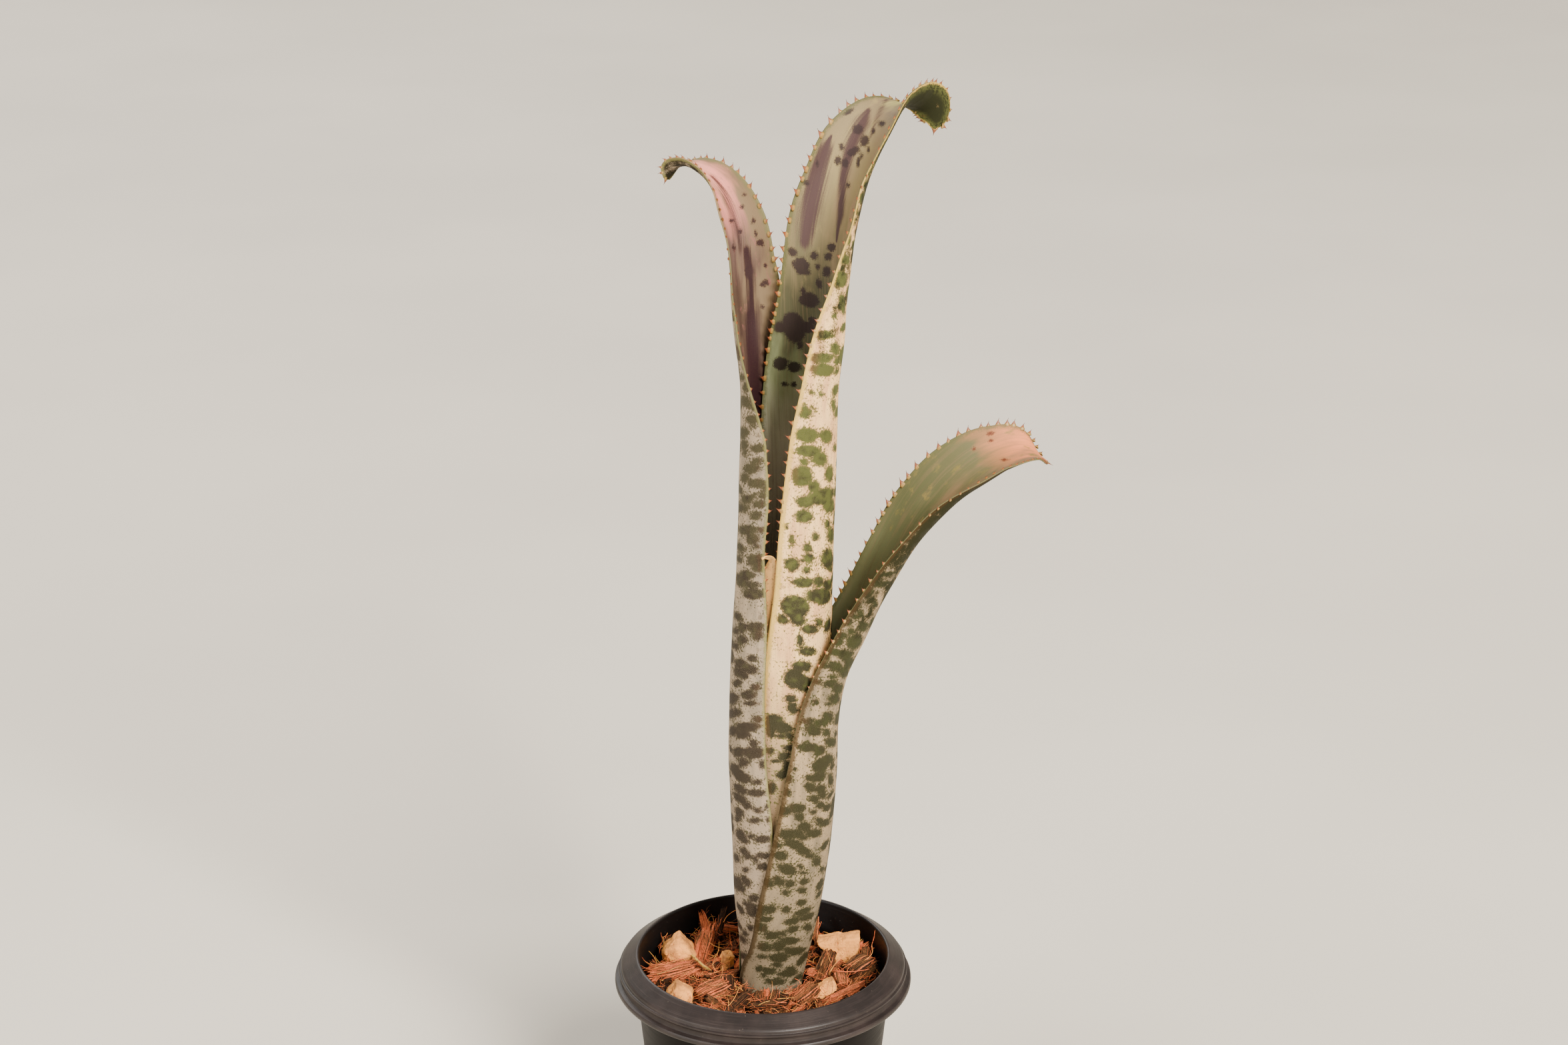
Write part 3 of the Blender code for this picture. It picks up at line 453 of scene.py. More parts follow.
class Sheet:
    """One leaf's grid of points on both faces, with each point's place along and across the leaf."""

    def __init__(self, leaf):
        self.frames = leaf_frames(leaf)
        count = len(self.frames["run"])
        self.index = np.unique(np.append(np.arange(0, count - 1, ROW_SAMPLES), count - 1))
        half = self.frames["half"][self.index]
        self.columns = max(16, 2 * int(half.max() / COLUMN_WIDTH))
        self.across = np.linspace(-1, 1, self.columns + 1)
        self.u = half[:, None] * self.across[None, :]
        self.s = np.repeat(self.frames["run"][self.index][:, None], self.columns + 1, axis=1)
        self.edge = half[:, None] - np.abs(self.u)
        rows = np.repeat(self.index[:, None], self.columns + 1, axis=1)
        self.ripple = self.ripples(leaf, rows)
        thin = LEAF_THICKNESS * (1 - 0.45 * np.abs(self.across[None, :]) ** 8)
        self.outer = leaf_points(self.frames, rows, self.u, self.ripple)
        self.inner = leaf_points(self.frames, rows, self.u, self.ripple + thin)

    def ripples(self, leaf, rows):
        """Small unevenness of the surface: less in the tube, more towards the free margins."""
        free = self.frames["free"][rows] * ("turn_run" not in leaf)
        size = 0.08 + free * (0.12 + 0.3 * np.abs(self.across[None, :]) ** 3)
        wave = np.sin(self.s / 9.0 + 2 * self.across) + 0.6 * np.sin(self.s / 4.3 - 3 * self.across + 1)
        return size * wave

    def facing(self, inner):
        """How squarely each point of a face shows its front to the photograph's camera: 1 down to -1."""
        points = self.inner if inner else self.outer
        normal = np.cross(np.gradient(points, axis=1), np.gradient(points, axis=0))
        if inner:
            normal = -normal
        return (unit(np.array(CAMERA_PLACE) - points) * unit(normal)).sum(axis=-1)

    def nearest(self, pixels, inner):
        """Row and column of the front-facing points nearest to pixels of the photograph."""
        seen = photo_pixels(self.inner if inner else self.outer)
        seen[self.facing(inner) <= 0] = 1e6
        distances = (((seen - pixel) ** 2).sum(axis=-1) for pixel in pixels)
        return [np.unravel_index(np.argmin(distance), self.s.shape) for distance in distances]

    def marks_seen(self, given, inner):
        """Marks of run, arc length, width, height, slant, and how steps on the leaf move in the photo."""
        seen = photo_pixels(self.inner if inner else self.outer) / PIXELS_PER_MM
        by_u = np.gradient(seen, axis=1) / np.gradient(self.u, axis=1)[..., None]
        by_s = np.gradient(seen, axis=0) / np.gradient(self.s, axis=0)[..., None]
        marks = []
        for (row, column), mark in zip(self.nearest([mark[:2] for mark in given], inner), given):
            level = by_u[row, column] * max(1, LEAST_SEEN / np.linalg.norm(by_u[row, column]))
            slant = mark[4] if len(mark) > 4 else 0
            place = self.s[row, column], self.u[row, column]
            marks.append((*place, mark[2], mark[3], slant, level, by_s[row, column]))
        return marks

    def blotches(self, marks):
        """Millimetres inside the nearest mark, over the grid."""
        field = np.full_like(self.s, 1e-6)
        for run, u, width, height, slant, by_u, by_s in marks:
            turn = math.radians(slant)
            right = (self.u - u) * by_u[0] + (self.s - run) * by_s[0]
            down = (self.u - u) * by_u[1] + (self.s - run) * by_s[1]
            level = (right * math.cos(turn) + down * math.sin(turn)) / (width / 2)
            upright = (down * math.cos(turn) - right * math.sin(turn)) / (height / 2)
            inside = (1 - np.hypot(level, upright)) * math.sqrt(width * height) / 2
            field += np.exp(3 * np.clip(inside, -4, 4))
        return np.log(field) / 3

    def stripes(self, strokes):
        """A field over the grid that is 1 along the middle of each stroke and fades over its width."""
        field = np.zeros_like(self.s)
        for strength, stations in strokes:
            places = self.nearest([station[:2] for station in stations], True)
            path = [(self.s[place], self.u[place]) for place in places]
            widths = [station[2] for station in stations]
            for (s0, u0), (s1, u1), w0, w1 in zip(path, path[1:], widths, widths[1:]):
                length = max((s1 - s0) ** 2 + (u1 - u0) ** 2, 1e-6)
                share = np.clip(((self.s - s0) * (s1 - s0) + (self.u - u0) * (u1 - u0)) / length, 0, 1)
                distance = np.hypot(self.s - s0 - share * (s1 - s0), self.u - u0 - share * (u1 - u0))
                width = w0 + (w1 - w0) * share
                field = np.maximum(field, strength * np.exp(-((distance / (width / 2)) ** 2)))
        return field


def scattered_marks(sheet, seed, taken, hidden, spacing, sizes):
    """Blotches in loose rows across the leaf, by a seeded draw, off the listed marks."""
    draw = random.Random(seed)
    length, widest = sheet.s.max(), sheet.u.max()
    real = [(at, side, wide / np.linalg.norm(level)) for at, side, wide, _, _, level, _ in taken]
    marks = []
    run = 8.0
    while run < length - 6:
        u = -widest + draw.uniform(0, spacing)
        while u < widest:
            width = draw.uniform(*sizes) * (1.4 if draw.random() < 0.2 else 1)
            place = run + draw.uniform(-0.3, 0.3) * spacing
            shape = width, width * draw.uniform(0.45, 0.85), draw.uniform(-20, 20)
            clear = all(math.hypot(place - at, u - side) > 0.5 * (wide + width) for at, side, wide in real)
            row = min(int(place / (SAMPLE_STEP * ROW_SAMPLES)), len(sheet.index) - 1)
            column = int(round((u / max(sheet.u[row].max(), 1) + 1) / 2 * sheet.columns))
            inside = 0 <= column <= sheet.columns
            if clear and inside and (hidden is None or hidden[row, column]) and draw.random() < 0.8:
                marks.append((place, u, *shape, (1, 0), (0, -1)))
            u += draw.uniform(0.7, 1.4) * spacing
        run += draw.uniform(0.7, 1.05) * spacing
    return marks


def mesh_piece(name, points, faces, materials, indices=None, sharp=180.0):
    """A mesh object made from points in millimetres."""
    mesh = bpy.data.meshes.new(name)
    points = np.asarray(points, np.float64) * MM
    mesh.from_pydata(points.tolist(), [], faces)
    for material in materials:
        mesh.materials.append(material)
    if indices is not None:
        mesh.polygons.foreach_set("material_index", np.asarray(indices, np.int32))
    mesh.shade_smooth()
    if sharp < 180:
        mesh.set_sharp_from_angle(angle=math.radians(sharp))
    obj = bpy.data.objects.new(name, mesh)
    bpy.context.collection.objects.link(obj)
    return obj


def set_values(obj, name, values):
    layer = obj.data.attributes.new(name, "FLOAT", "POINT")
    layer.data.foreach_set("value", np.asarray(values, np.float32).ravel())


def grid_faces(rows, columns, start, flipped):
    """Quads of a grid of points that begins at start."""
    row, column = np.meshgrid(np.arange(rows - 1), np.arange(columns - 1), indexing="ij")
    a = (start + row * columns + column).ravel()
    corners = [a, a + 1, a + columns + 1, a + columns]
    if flipped:
        corners.reverse()
    return np.stack(corners, axis=1)


def border(rows, columns):
    """The grid's border points in order, so that two grids can be joined along it."""
    grid = np.arange(rows * columns).reshape(rows, columns)
    return np.concatenate([grid[0, :-1], grid[:-1, -1], grid[-1, :0:-1], grid[:0:-1, 0]])


def spine_places(sheet, lowest, sizes, seed):
    """Sample, side and size of each spine along both margins, closer at the tip and small low down."""
    draw = random.Random(seed)
    frames = sheet.frames
    length = frames["run"][-1]
    places = []
    for side, lengths in zip((-1, 1), sizes):
        run = draw.uniform(0, SPINE_PITCH)
        while run < length - 1.0:
            sample = int(run / SAMPLE_STEP)
            near_tip = np.clip((run - length + CLOSE_RUN) / CLOSE_RUN, 0, 1)
            above = frames["midrib"][sample][2] - lowest
            if above > 0:
                size = min(0.35 + (above / 32) ** 3, 1) * np.interp(run / length, (0.55, 0.85, 1), lengths)
                places.append((sample, side, size * draw.uniform(0.8, 1.2)))
            run += SPINE_PITCH * draw.uniform(0.75, 1.2) * (1 - 0.66 * near_tip)
    return places


def round_z(radius, turn):
    """The x and y of a point at a radius and an angle round Z."""
    return radius * math.cos(turn), radius * math.sin(turn)


def turns(count):
    """Evenly spaced angles all the way round."""
    return [2 * math.pi * k / count for k in range(count)]


def tube_faces(rings, around, start=0, rooted=False):
    """Quads between rings of points that follow each other, and a face over each end.

    A rooted tube starts inside something, and has no face there.
    """
    faces = []
    last = start + (rings - 1) * around
    for low in range(start, last, around):
        for k in range(around):
            after = (k + 1) % around
            faces.append((low + k, low + after, low + around + after, low + around + k))
    if not rooted:
        faces.append(tuple(range(start, start + around))[::-1])
    faces.append(tuple(range(last, last + around)))
    return faces


def spine(base, out, forward, normal, length, lean):
    """Rings of a flat thorn that leans forward, and how far along it each ring is."""
    points, shares = [], []
    for step in SPINE_RINGS:
        reach = max(step, 0)
        fill = max(0.05, (1 - reach) ** 1.75)
        middle = base + out * (length * step) + forward * (lean * reach**1.5)
        for turn in turns(SPINE_SIDES):
            wide, thick = 0.5 * length * fill * math.cos(turn), 0.36 * fill**0.7 * math.sin(turn)
            points.append(middle + forward * wide + normal * thick)
            shares.append(reach)
    return points, shares


def thorns_of(sheet, lowest, sizes, seed):
    """What spine needs for each thorn: those along both margins, and one at the tip."""
    frames = sheet.frames
    thorns = []
    for sample, side, length in spine_places(sheet, lowest, sizes, seed):
        half = frames["half"][sample]
        turn = half / frames["radius"][sample]
        base = leaf_points(frames, sample, side * half, LEAF_THICKNESS / 2)
        out = frames["across"][sample] * (side * math.cos(turn)) + frames["inward"][sample] * math.sin(turn)
        forward = frames["along"][sample]
        thorns.append((base, out, forward, np.cross(out, forward), length, 0.55 * length))
    last = len(frames["run"]) - 1
    directions = (frames[name][last] for name in ("along", "across", "inward"))
    thorns.append((leaf_points(frames, last, 0.0, LEAF_THICKNESS / 2), *directions, TIP_SPINE, 0))
    return thorns


def make_leaf(name, seed, materials):
    """The leaf as one piece: outer face, inner face, rim and spines."""
    leaf = LEAVES[name]
    sheet = Sheet(leaf)
    rows, columns = sheet.s.shape
    count = rows * columns
    edge_line = border(rows, columns)
    after = np.roll(edge_line, -1)
    outer, inner = grid_faces(rows, columns, 0, True), grid_faces(rows, columns, count, False)
    rim = np.stack([edge_line, after, after + count, edge_line + count], axis=1)
    faces = np.vstack([outer, inner, rim]).tolist()
    # The inner material covers the rim too, and leaves out the foot of the inner face, hidden in the tube
    indices = [0] * (len(outer) + len(rim)) + [1] * len(inner)
    points = list(sheet.outer.reshape(-1, 3)) + list(sheet.inner.reshape(-1, 3))
    shares = [0.0] * (2 * count)
    if "spines_from" in leaf:
        for thorn in thorns_of(sheet, leaf["spines_from"], SPINE_LENGTHS[name], seed):
            added, along = spine(*thorn)
            made = tube_faces(len(SPINE_RINGS), SPINE_SIDES, len(points), rooted=True)
            faces.extend(made)
            indices.extend([2] * len(made))
            points.extend(added)
            shares.extend(along)
    obj = mesh_piece(name + "_blade", points, faces, materials, indices)
    extra = len(points) - 2 * count
    fields = {
        "marks": leaf_marks(name, sheet, seed),
        "stripe": [sheet.stripes(STRIPES.get(name, []))] * 2,
        "edge": [sheet.edge] * 2,
        "run": [sheet.s / sheet.s.max()] * 2,
        "side": [sheet.u / np.maximum(np.abs(sheet.u).max(axis=1, keepdims=True), 0.1)] * 2,
    }
    for field, (outside, inside) in fields.items():
        at_spines = np.full(extra, float(field == "run"))
        set_values(obj, field, np.concatenate([outside.ravel(), inside.ravel(), at_spines]))
    set_values(obj, "tip", shares)
    flat = np.stack([sheet.u.ravel(), sheet.s.ravel()], axis=1) / UV_UNIT
    flat = np.vstack([flat, flat, np.zeros((extra, 2))])
    corners = np.empty(len(obj.data.loops), np.int32)
    obj.data.loops.foreach_get("vertex_index", corners)
    obj.data.uv_layers.new(name="leaf").data.foreach_set("uv", flat[corners].astype(np.float32).ravel())
    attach(obj, "root")
    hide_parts(name)


def leaf_marks(name, sheet, seed):
    """The blotch fields of the outer and inner faces."""
    fields = []
    for inner, table, spacing, sizes in (
        (False, OUTER_MARKS, 6.0, (2.2, 6)),
        (True, INNER_MARKS, 14, (1.5, 4)),
    ):
        given = table.get(name, [])
        marks = sheet.marks_seen(given, inner)
        hidden = sheet.facing(inner) < (0 if inner else 0.5) if given else None
        if name != "leaf_inner":
            marks += scattered_marks(sheet, seed + inner, marks, hidden, spacing, sizes)
        fields.append(sheet.blotches(marks))
    return fields


class Value:
    """One output of a shader node. Sums, differences and products of it add the nodes they need."""

    def __init__(self, tree, socket):
        self.tree = tree
        self.socket = socket

    def combined(self, operation, other):
        return add_node(self.tree, "ShaderNodeMath", {0: self, 1: other}, operation=operation)

    def __add__(self, other):
        return self.combined("ADD", other)

    def __sub__(self, other):
        return self.combined("SUBTRACT", other)

    def __rsub__(self, other):
        return add_node(self.tree, "ShaderNodeMath", {0: other, 1: self}, operation="SUBTRACT")

    def __mul__(self, other):
        return self.combined("MULTIPLY", other)


def add_node(tree, kind, inputs=None, output=0, **settings):
    """Adds a shader node and returns one of its outputs. Inputs are values, or plain numbers or colours."""
    node = tree.nodes.new(kind)
    for key, value in settings.items():
        setattr(node, key, value)
    for key, value in (inputs or {}).items():
        if isinstance(value, Value):
            tree.links.new(value.socket, node.inputs[key])
        else:
            node.inputs[key].default_value = value
    return Value(tree, node.outputs[output])


class Surface:
    """A material and the shader nodes that it is built from."""

    def __init__(self, name, colour, roughness, specular=0.5):
        self.material = bpy.data.materials.new(name)
        self.material.use_nodes = True
        self.material.diffuse_color = colour_of(colour)
        self.tree = self.material.node_tree
        self.shader = self.tree.nodes["Principled BSDF"]
        plain = {"Base Color": colour_of(colour), "Roughness": roughness, "Specular IOR Level": specular}
        for socket, value in plain.items():
            self.shader.inputs[socket].default_value = value

    def node(self, kind, inputs=None, output=0, **settings):
        return add_node(self.tree, kind, inputs, output, **settings)

    def place(self):
        """Where a point is in the part, in metres."""
        return self.node("ShaderNodeTexCoord", output=3)

    def field(self, name):
        """A number that the mesh holds at each of its points."""
        return self.node("ShaderNodeAttribute", output=2, attribute_name=name)

    def dressed(self, colour, bump=None, roughness=None, specular=None):
        """The material with its values linked. A bump is a height, a strength and a depth in millimetres."""
        links = {"Base Color": colour, "Roughness": roughness, "Specular IOR Level": specular}
        if bump:
            height, strength, depth = bump
            inputs = {"Height": height, "Strength": strength, "Distance": depth * MM}
            links["Normal"] = self.node("ShaderNodeBump", inputs)
        for name, value in links.items():
            if value is not None:
                self.tree.links.new(value.socket, self.shader.inputs[name])
        return self.material


def colour_of(shown):
    """The surface colour that shows as the photograph's 0 to 255 values in the studio light."""
    linear = ((np.array(shown) / 255 + 0.055) / 1.055) ** 2.4
    bright = linear * (1 + 8 * linear**4) / STUDIO_LIGHT
    vivid = bright.mean() * (bright / bright.mean()) ** 1.08
    return (*(float(part) for part in np.clip(vivid, 0.001, 0.92)), 1.0)


def noise_of(vector, scale, detail=3.0, roughness=0.5):
    inputs = {"Vector": vector, "Scale": scale, "Detail": detail, "Roughness": roughness}
    return add_node(vector.tree, "ShaderNodeTexNoise", inputs)


def cells_of(vector, scale):
    """The distance to the nearest of many scattered points."""
    return add_node(vector.tree, "ShaderNodeTexVoronoi", {"Vector": vector, "Scale": scale})


def stretched(vector, scale):
    return add_node(vector.tree, "ShaderNodeMapping", {"Vector": vector, "Scale": scale})


def step_of(value, low, high):
    """0 at low, 1 at high, and smooth between them."""
    inputs = {"Value": value, "From Min": low, "From Max": high}
    return add_node(value.tree, "ShaderNodeMapRange", inputs, interpolation_type="SMOOTHSTEP")


def mixed(share, first, second):
    """A colour between two, each a value or the photograph's red, green and blue."""
    first, second = (colour_of(c) if isinstance(c, tuple) else c for c in (first, second))
    return add_node(share.tree, "ShaderNodeMix", {0: share, 6: first, 7: second}, output=2, data_type="RGBA")


def ramp_of(value, stops):
    """A colour that changes with the value through stops of place and colour."""
    ramp = add_node(value.tree, "ShaderNodeValToRGB", {"Fac": value})
    elements = ramp.socket.node.color_ramp.elements
    while len(elements) < len(stops):
        elements.new(0.5)
    for element, (place, colour) in zip(elements, stops):
        element.position = place
        element.color = colour_of(colour)
    return ramp


def ragged(field, vector, low, high):
    """A mask where the field, in millimetres, rises from low to high, its edge broken up by grain."""
    coarse, fine = EDGE_GRAINS
    grain = noise_of(vector, 6.0, 3.0, 0.6) * coarse + noise_of(vector, 26.0, 3.0, 0.85) * fine
    usual = (coarse + fine) / 2
    return step_of(field + grain, low + usual, high + usual)


def scurf_material(name, rim, worn_and_shaded_from, low_span, colours):
    """The outer face: mealy scurf over green, with fuzzy blotches, specks and a coloured margin, and a bare
    tip whose dark colour is in part painted shade.
    """
    pale, grey, low, green, dark, brown, margin, tip = colours
    surface = Surface(name, pale, 0.8, 0.12)
    vector = surface.node("ShaderNodeUVMap", uv_map="leaf")
    run, marks, inset = (surface.field(name) for name in ("run", "marks", "edge"))
    broad = noise_of(stretched(vector, (2.2, 0.5, 1)), 1.0, 4.0)
    grain = noise_of(vector, 48.0, 3.0, 0.8)
    lines = noise_of(stretched(vector, (22, 0.7, 1)), 1.0, 3.0, 0.6)
    scurf = mixed(step_of(broad, 0.4, 0.66), pale, grey)
    scurf = mixed(step_of(run, *low_span) * 0.8, scurf, low)
    scurf = mixed(step_of(lines, 0.5, 0.68) * 0.25, scurf, low)
    scurf = mixed(step_of(grain, 0.5, 0.64) * 0.35, scurf, green)
    patches = noise_of(vector, 1.9, 2.0) * 0.3
    rare = noise_of(vector, 11.0, 4.0, 0.7) + (step_of(marks, -2.4, 0.0) * 0.1 + patches)
    scurf = mixed(step_of(rare, 0.735, 0.785) * 0.9, scurf, green)
    close = step_of(inset, 6.0, 1.5)
    mask = ragged(marks, vector, -0.9, 0.15)
    tone = noise_of(vector, 3.2, 3.0) + run * -1.4
    blotch = mixed(step_of(tone, -0.4, -0.02), green, dark)
    blotch = mixed(step_of(broad, 0.5, 0.6) * close, blotch, brown)
    blotch = mixed(step_of(grain, 0.48, 0.64) * 0.38, blotch, low)
    # Where the scurf is worn off: bare green, darkened in part as painted shade on the shaded tips
    bare_and_shaded = ragged((run - worn_and_shaded_from) * 9.0 + patches * 14.0 - 2.1, vector, -0.8, 0.6)
    # Tip colour along the margin, dark further in; the dark is in part painted shade
    under = mixed(step_of(inset, 1.5, 5.0), tip, dark)
    under = mixed(step_of(rare, 0.62, 0.78), under, dark)
    under = mixed(mask * 0.7, under, dark)
    colour = mixed(bare_and_shaded, mixed(mask, scurf, blotch), under)
    rust = step_of(noise_of(vector, 3.3, 3.0), 0.6, 0.7) * close
    colour = mixed(rust * 0.5, colour, brown)
    wide = surface.node("ShaderNodeMapRange", {"Value": run, "To Min": rim[0], "To Max": rim[1]})
    colour = mixed(ragged(wide - inset, vector, -0.5, 0.4) * 0.85, colour, margin)
    height = grain * 0.7 + lines * 0.9 - mask * 0.35
    return surface.dressed(colour, (height, 0.6, 0.14), roughness=0.84 - mask * 0.16)


def blade_material(name, stops, others):
    """The inner face: colours that follow each other up the leaf, with stripes, spots and a margin."""
    tinted, patch, stripe, spot, margin = others
    surface = Surface(name, stops[-1][1], 0.5, 0.2)
    vector = surface.node("ShaderNodeUVMap", uv_map="leaf")
    lines = noise_of(stretched(vector, (13, 0.3, 1)), 1.0, 4.0, 0.6)
    grain = noise_of(vector, 42.0, 3.0, 0.8)
    broad = noise_of(stretched(vector, (1.6, 0.45, 1)), 1.0, 3.0)
    blots = noise_of(stretched(vector, (2.6, 1.3, 1)), 1.0, 4.0, 0.6)
    run = surface.field("run")
    high = step_of(run, 0.72, 0.8)
    # Stops low in the channel hold painted light that lifts its shade
    colour = ramp_of(run + (broad - 0.5) * 0.1, stops)
    colour = mixed(step_of(broad - surface.field("side") * 0.22, 0.42, 0.72) * high, colour, tinted)
    colour = mixed(step_of(blots, 0.56, 0.72) * high, colour, patch)
    colour = mixed(step_of(lines, 0.46, 0.66) * 0.3, colour, tinted)
    band = step_of(surface.field("stripe") + (lines + grain * 1.2), 1.25, 1.85)
    colour = mixed(band, colour, stripe)
    colour = mixed(ragged(surface.field("marks"), vector, -0.5, 0.3) * 0.94, colour, spot)
    colour = mixed(step_of(grain, 0.5, 0.66) * 0.25, colour, margin)
    colour = mixed(ragged(1.2 - surface.field("edge"), vector, -0.9, 0.9) * 0.8, colour, margin)
    return surface.dressed(colour, (lines + grain * 0.3, 0.5, 0.18), roughness=grain * 0.3 + 0.5)


def spine_material():
    """Spines: yellow-green at the root, orange along them and dark red-brown at the point."""
    surface = Surface("spines", (200, 130, 70), 0.45)
    tip = surface.field("tip")
    streak = noise_of(surface.place(), 900.0, 2.0)
    colour = mixed(step_of(tip, 0.0, 0.3), (190, 172, 104), (176, 112, 62))
    colour = mixed(step_of(tip, 0.4, 0.9), colour, (116, 58, 36))
    colour = mixed(step_of(streak, 0.4, 0.7) * 0.25, colour, (90, 40, 30))
    return surface.dressed(colour, (streak, 0.3, 0.05))


# How wide the coloured margin of each outer face is, at the foot and at the tip
RIMS = {"leaf_tall": (3.4, 0.4), "leaf_left": (0.5, 1.0), "leaf_right": (2.2, 0.8), "leaf_inner": (0.6, 0.6)}
# How far along each leaf its scurf has worn off, leaving a bare tip that is darkened in part as painted
# shade
WORN_AND_SHADED_FROM = {"leaf_tall": 0.79, "leaf_left": 0.92, "leaf_right": 0.67, "leaf_inner": 1.4}
# Between which shares of its length the scurf turns to its colour low down
LOW_SPANS = {
    "leaf_tall": (0.42, 0.28), "leaf_left": (0.5, 0.1), "leaf_right": (0.5, 0.1), "leaf_inner": (0.5, 0.1),
}

# Outer face, in the photograph's values: pale scurf, grey scurf, scurf low down, green and dark
# blotches, brown stains, margin and bare tip; the bare tip's colour is darkened in part as painted shade
OUTER_COLOURS = {
    "leaf_tall": [
        (223, 208, 183), (212, 196, 170), (172, 159, 138), (110, 118, 60),
        (56, 58, 34), (120, 92, 54), (206, 194, 130), (112, 116, 66),
    ],
    # Darker in part as painted shade, for this leaf's side that faces away from the key light
    "leaf_left": [
        (196, 188, 174), (180, 172, 156), (188, 178, 163), (86, 84, 54),
        (54, 46, 34), (90, 70, 48), (166, 162, 110), (54, 52, 30),
    ],
    # Its green, dark and tip colours are darker in part as painted shade on the shaded upper part of the
    # leaf
    "leaf_right": [
        (195, 184, 162), (168, 156, 132), (164, 152, 129), (66, 72, 33),
        (58, 58, 31), (84, 64, 36), (88, 68, 38), (62, 60, 34),
    ],
    # Paler in part as painted light, where the strip lies in the shade of the other leaves' margins
    "leaf_inner": [
        (210, 193, 152), (194, 178, 138), (198, 181, 138), (160, 140, 92),
        (120, 98, 62), (132, 84, 48), (200, 180, 122), (190, 172, 120),
    ],
}
# Inner face, in the same values: colours at shares of the leaf's length. Low in the channels of leaf_tall
# and leaf_right they are paler, as painted light that lifts the shade in the hollow.
INNER_STOPS = {
    "leaf_tall": [
        (0.58, (210, 208, 200)), (0.66, (180, 184, 156)), (0.69, (122, 122, 90)), (0.74, (116, 112, 84)),
        (0.79, (160, 150, 114)), (0.84, (182, 172, 134)), (0.93, (170, 156, 124)), (0.98, (238, 218, 182)),
    ],
    "leaf_left": [
        (0.5, (84, 56, 54)), (0.7, (98, 68, 64)), (0.8, (116, 92, 78)), (0.87, (152, 124, 116)),
        (0.92, (216, 184, 176)), (0.97, (228, 196, 188)),
    ],
    "leaf_right": [
        (0.6, (166, 168, 134)), (0.7, (138, 142, 102)), (0.8, (116, 120, 80)), (0.9, (144, 140, 100)),
        (0.96, (214, 180, 136)),
    ],
    "leaf_inner": [(0.3, (150, 130, 90)), (0.9, (205, 180, 130))],
}
# Its tint towards the right margin, patches, stripes, spots and margin
INNER_COLOURS = {
    "leaf_tall": [(180, 164, 134), (184, 174, 132), (104, 78, 78), (72, 54, 56), (120, 122, 76)],
    "leaf_left": [(166, 148, 118), (184, 138, 134), (66, 32, 42), (68, 38, 46), (152, 150, 104)],
    "leaf_right": [(170, 150, 116), (172, 160, 92), (112, 108, 76), (136, 70, 48), (132, 132, 88)],
    "leaf_inner": [(180, 150, 100), (190, 160, 110), (120, 90, 60), (120, 90, 60), (222, 204, 160)],
}


def make_leaves():
    spines = spine_material()
    for seed, name in enumerate(LEAVES, LEAF_SEED):
        title, outer = name.replace("_", " "), OUTER_COLOURS[name]
        scurf = scurf_material(title + " scurf", RIMS[name], WORN_AND_SHADED_FROM[name], LOW_SPANS[name], outer)
        blade = blade_material(title + " blade", INNER_STOPS[name], INNER_COLOURS[name])
        make_leaf(name, seed, (scurf, blade, spines))


# Each stone: its middle, how far it reaches sideways, and its broken faces, each with the bearing and
# rise of its outward direction and its distance from the middle
STONES = {
    "pumice_stone_1": {
        "middle": (-31.6, 15.0, 87.4),
        "reach": 6.5,
        "faces": [
            (180, 47, 4.6), (0, 40, 4.1), (180, 0, 6.6), (0, -3, 6.7), (0, -90, 6.2), (-90, 12, 4.9),
            (90, 5, 5.1), (-130, -30, 6.0), (-50, -35, 6.0), (-90, 55, 5.0),
        ],
    },
    "pumice_stone_2": {
        "middle": (-30.6, -15.8, 85.4),
        "reach": 4.9,
        "faces": [
            (180, 50, 4.0), (0, 60, 3.6), (180, 0, 4.9), (0, 0, 4.9), (0, -90, 3.6), (-90, 10, 4.2),
            (90, 0, 4.2), (-60, 40, 4.1),
        ],
    },
    "pumice_stone_3": {
        "middle": (-13.6, 10.2, 85.6),
        "reach": 2.6,
        "faces": [
            (200, 20, 2.3), (20, 0, 2.4), (110, 0, 2.5), (-70, 5, 2.5), (0, 80, 2.8), (0, -90, 2.9),
        ],
    },
    "pumice_stone_4": {
        "middle": (28.2, 17.0, 86.6),
        "reach": 7.9,
        "faces": [
            (180, 83, 5.1), (0, -6, 7.7), (180, -46, 3.3), (0, -72, 6.0), (-90, 8, 3.9), (90, 0, 4.5),
            (180, 0, 8.6),
        ],
    },
    "pumice_stone_5": {
        "middle": (22.7, -11.3, 85.8),
        "reach": 3.9,
        "faces": [
            (180, 64, 1.9), (0, -64, 1.9), (0, 21, 4.2), (180, -21, 4.2), (-90, 25, 2.6), (90, 0, 3.0),
        ],
    },
}

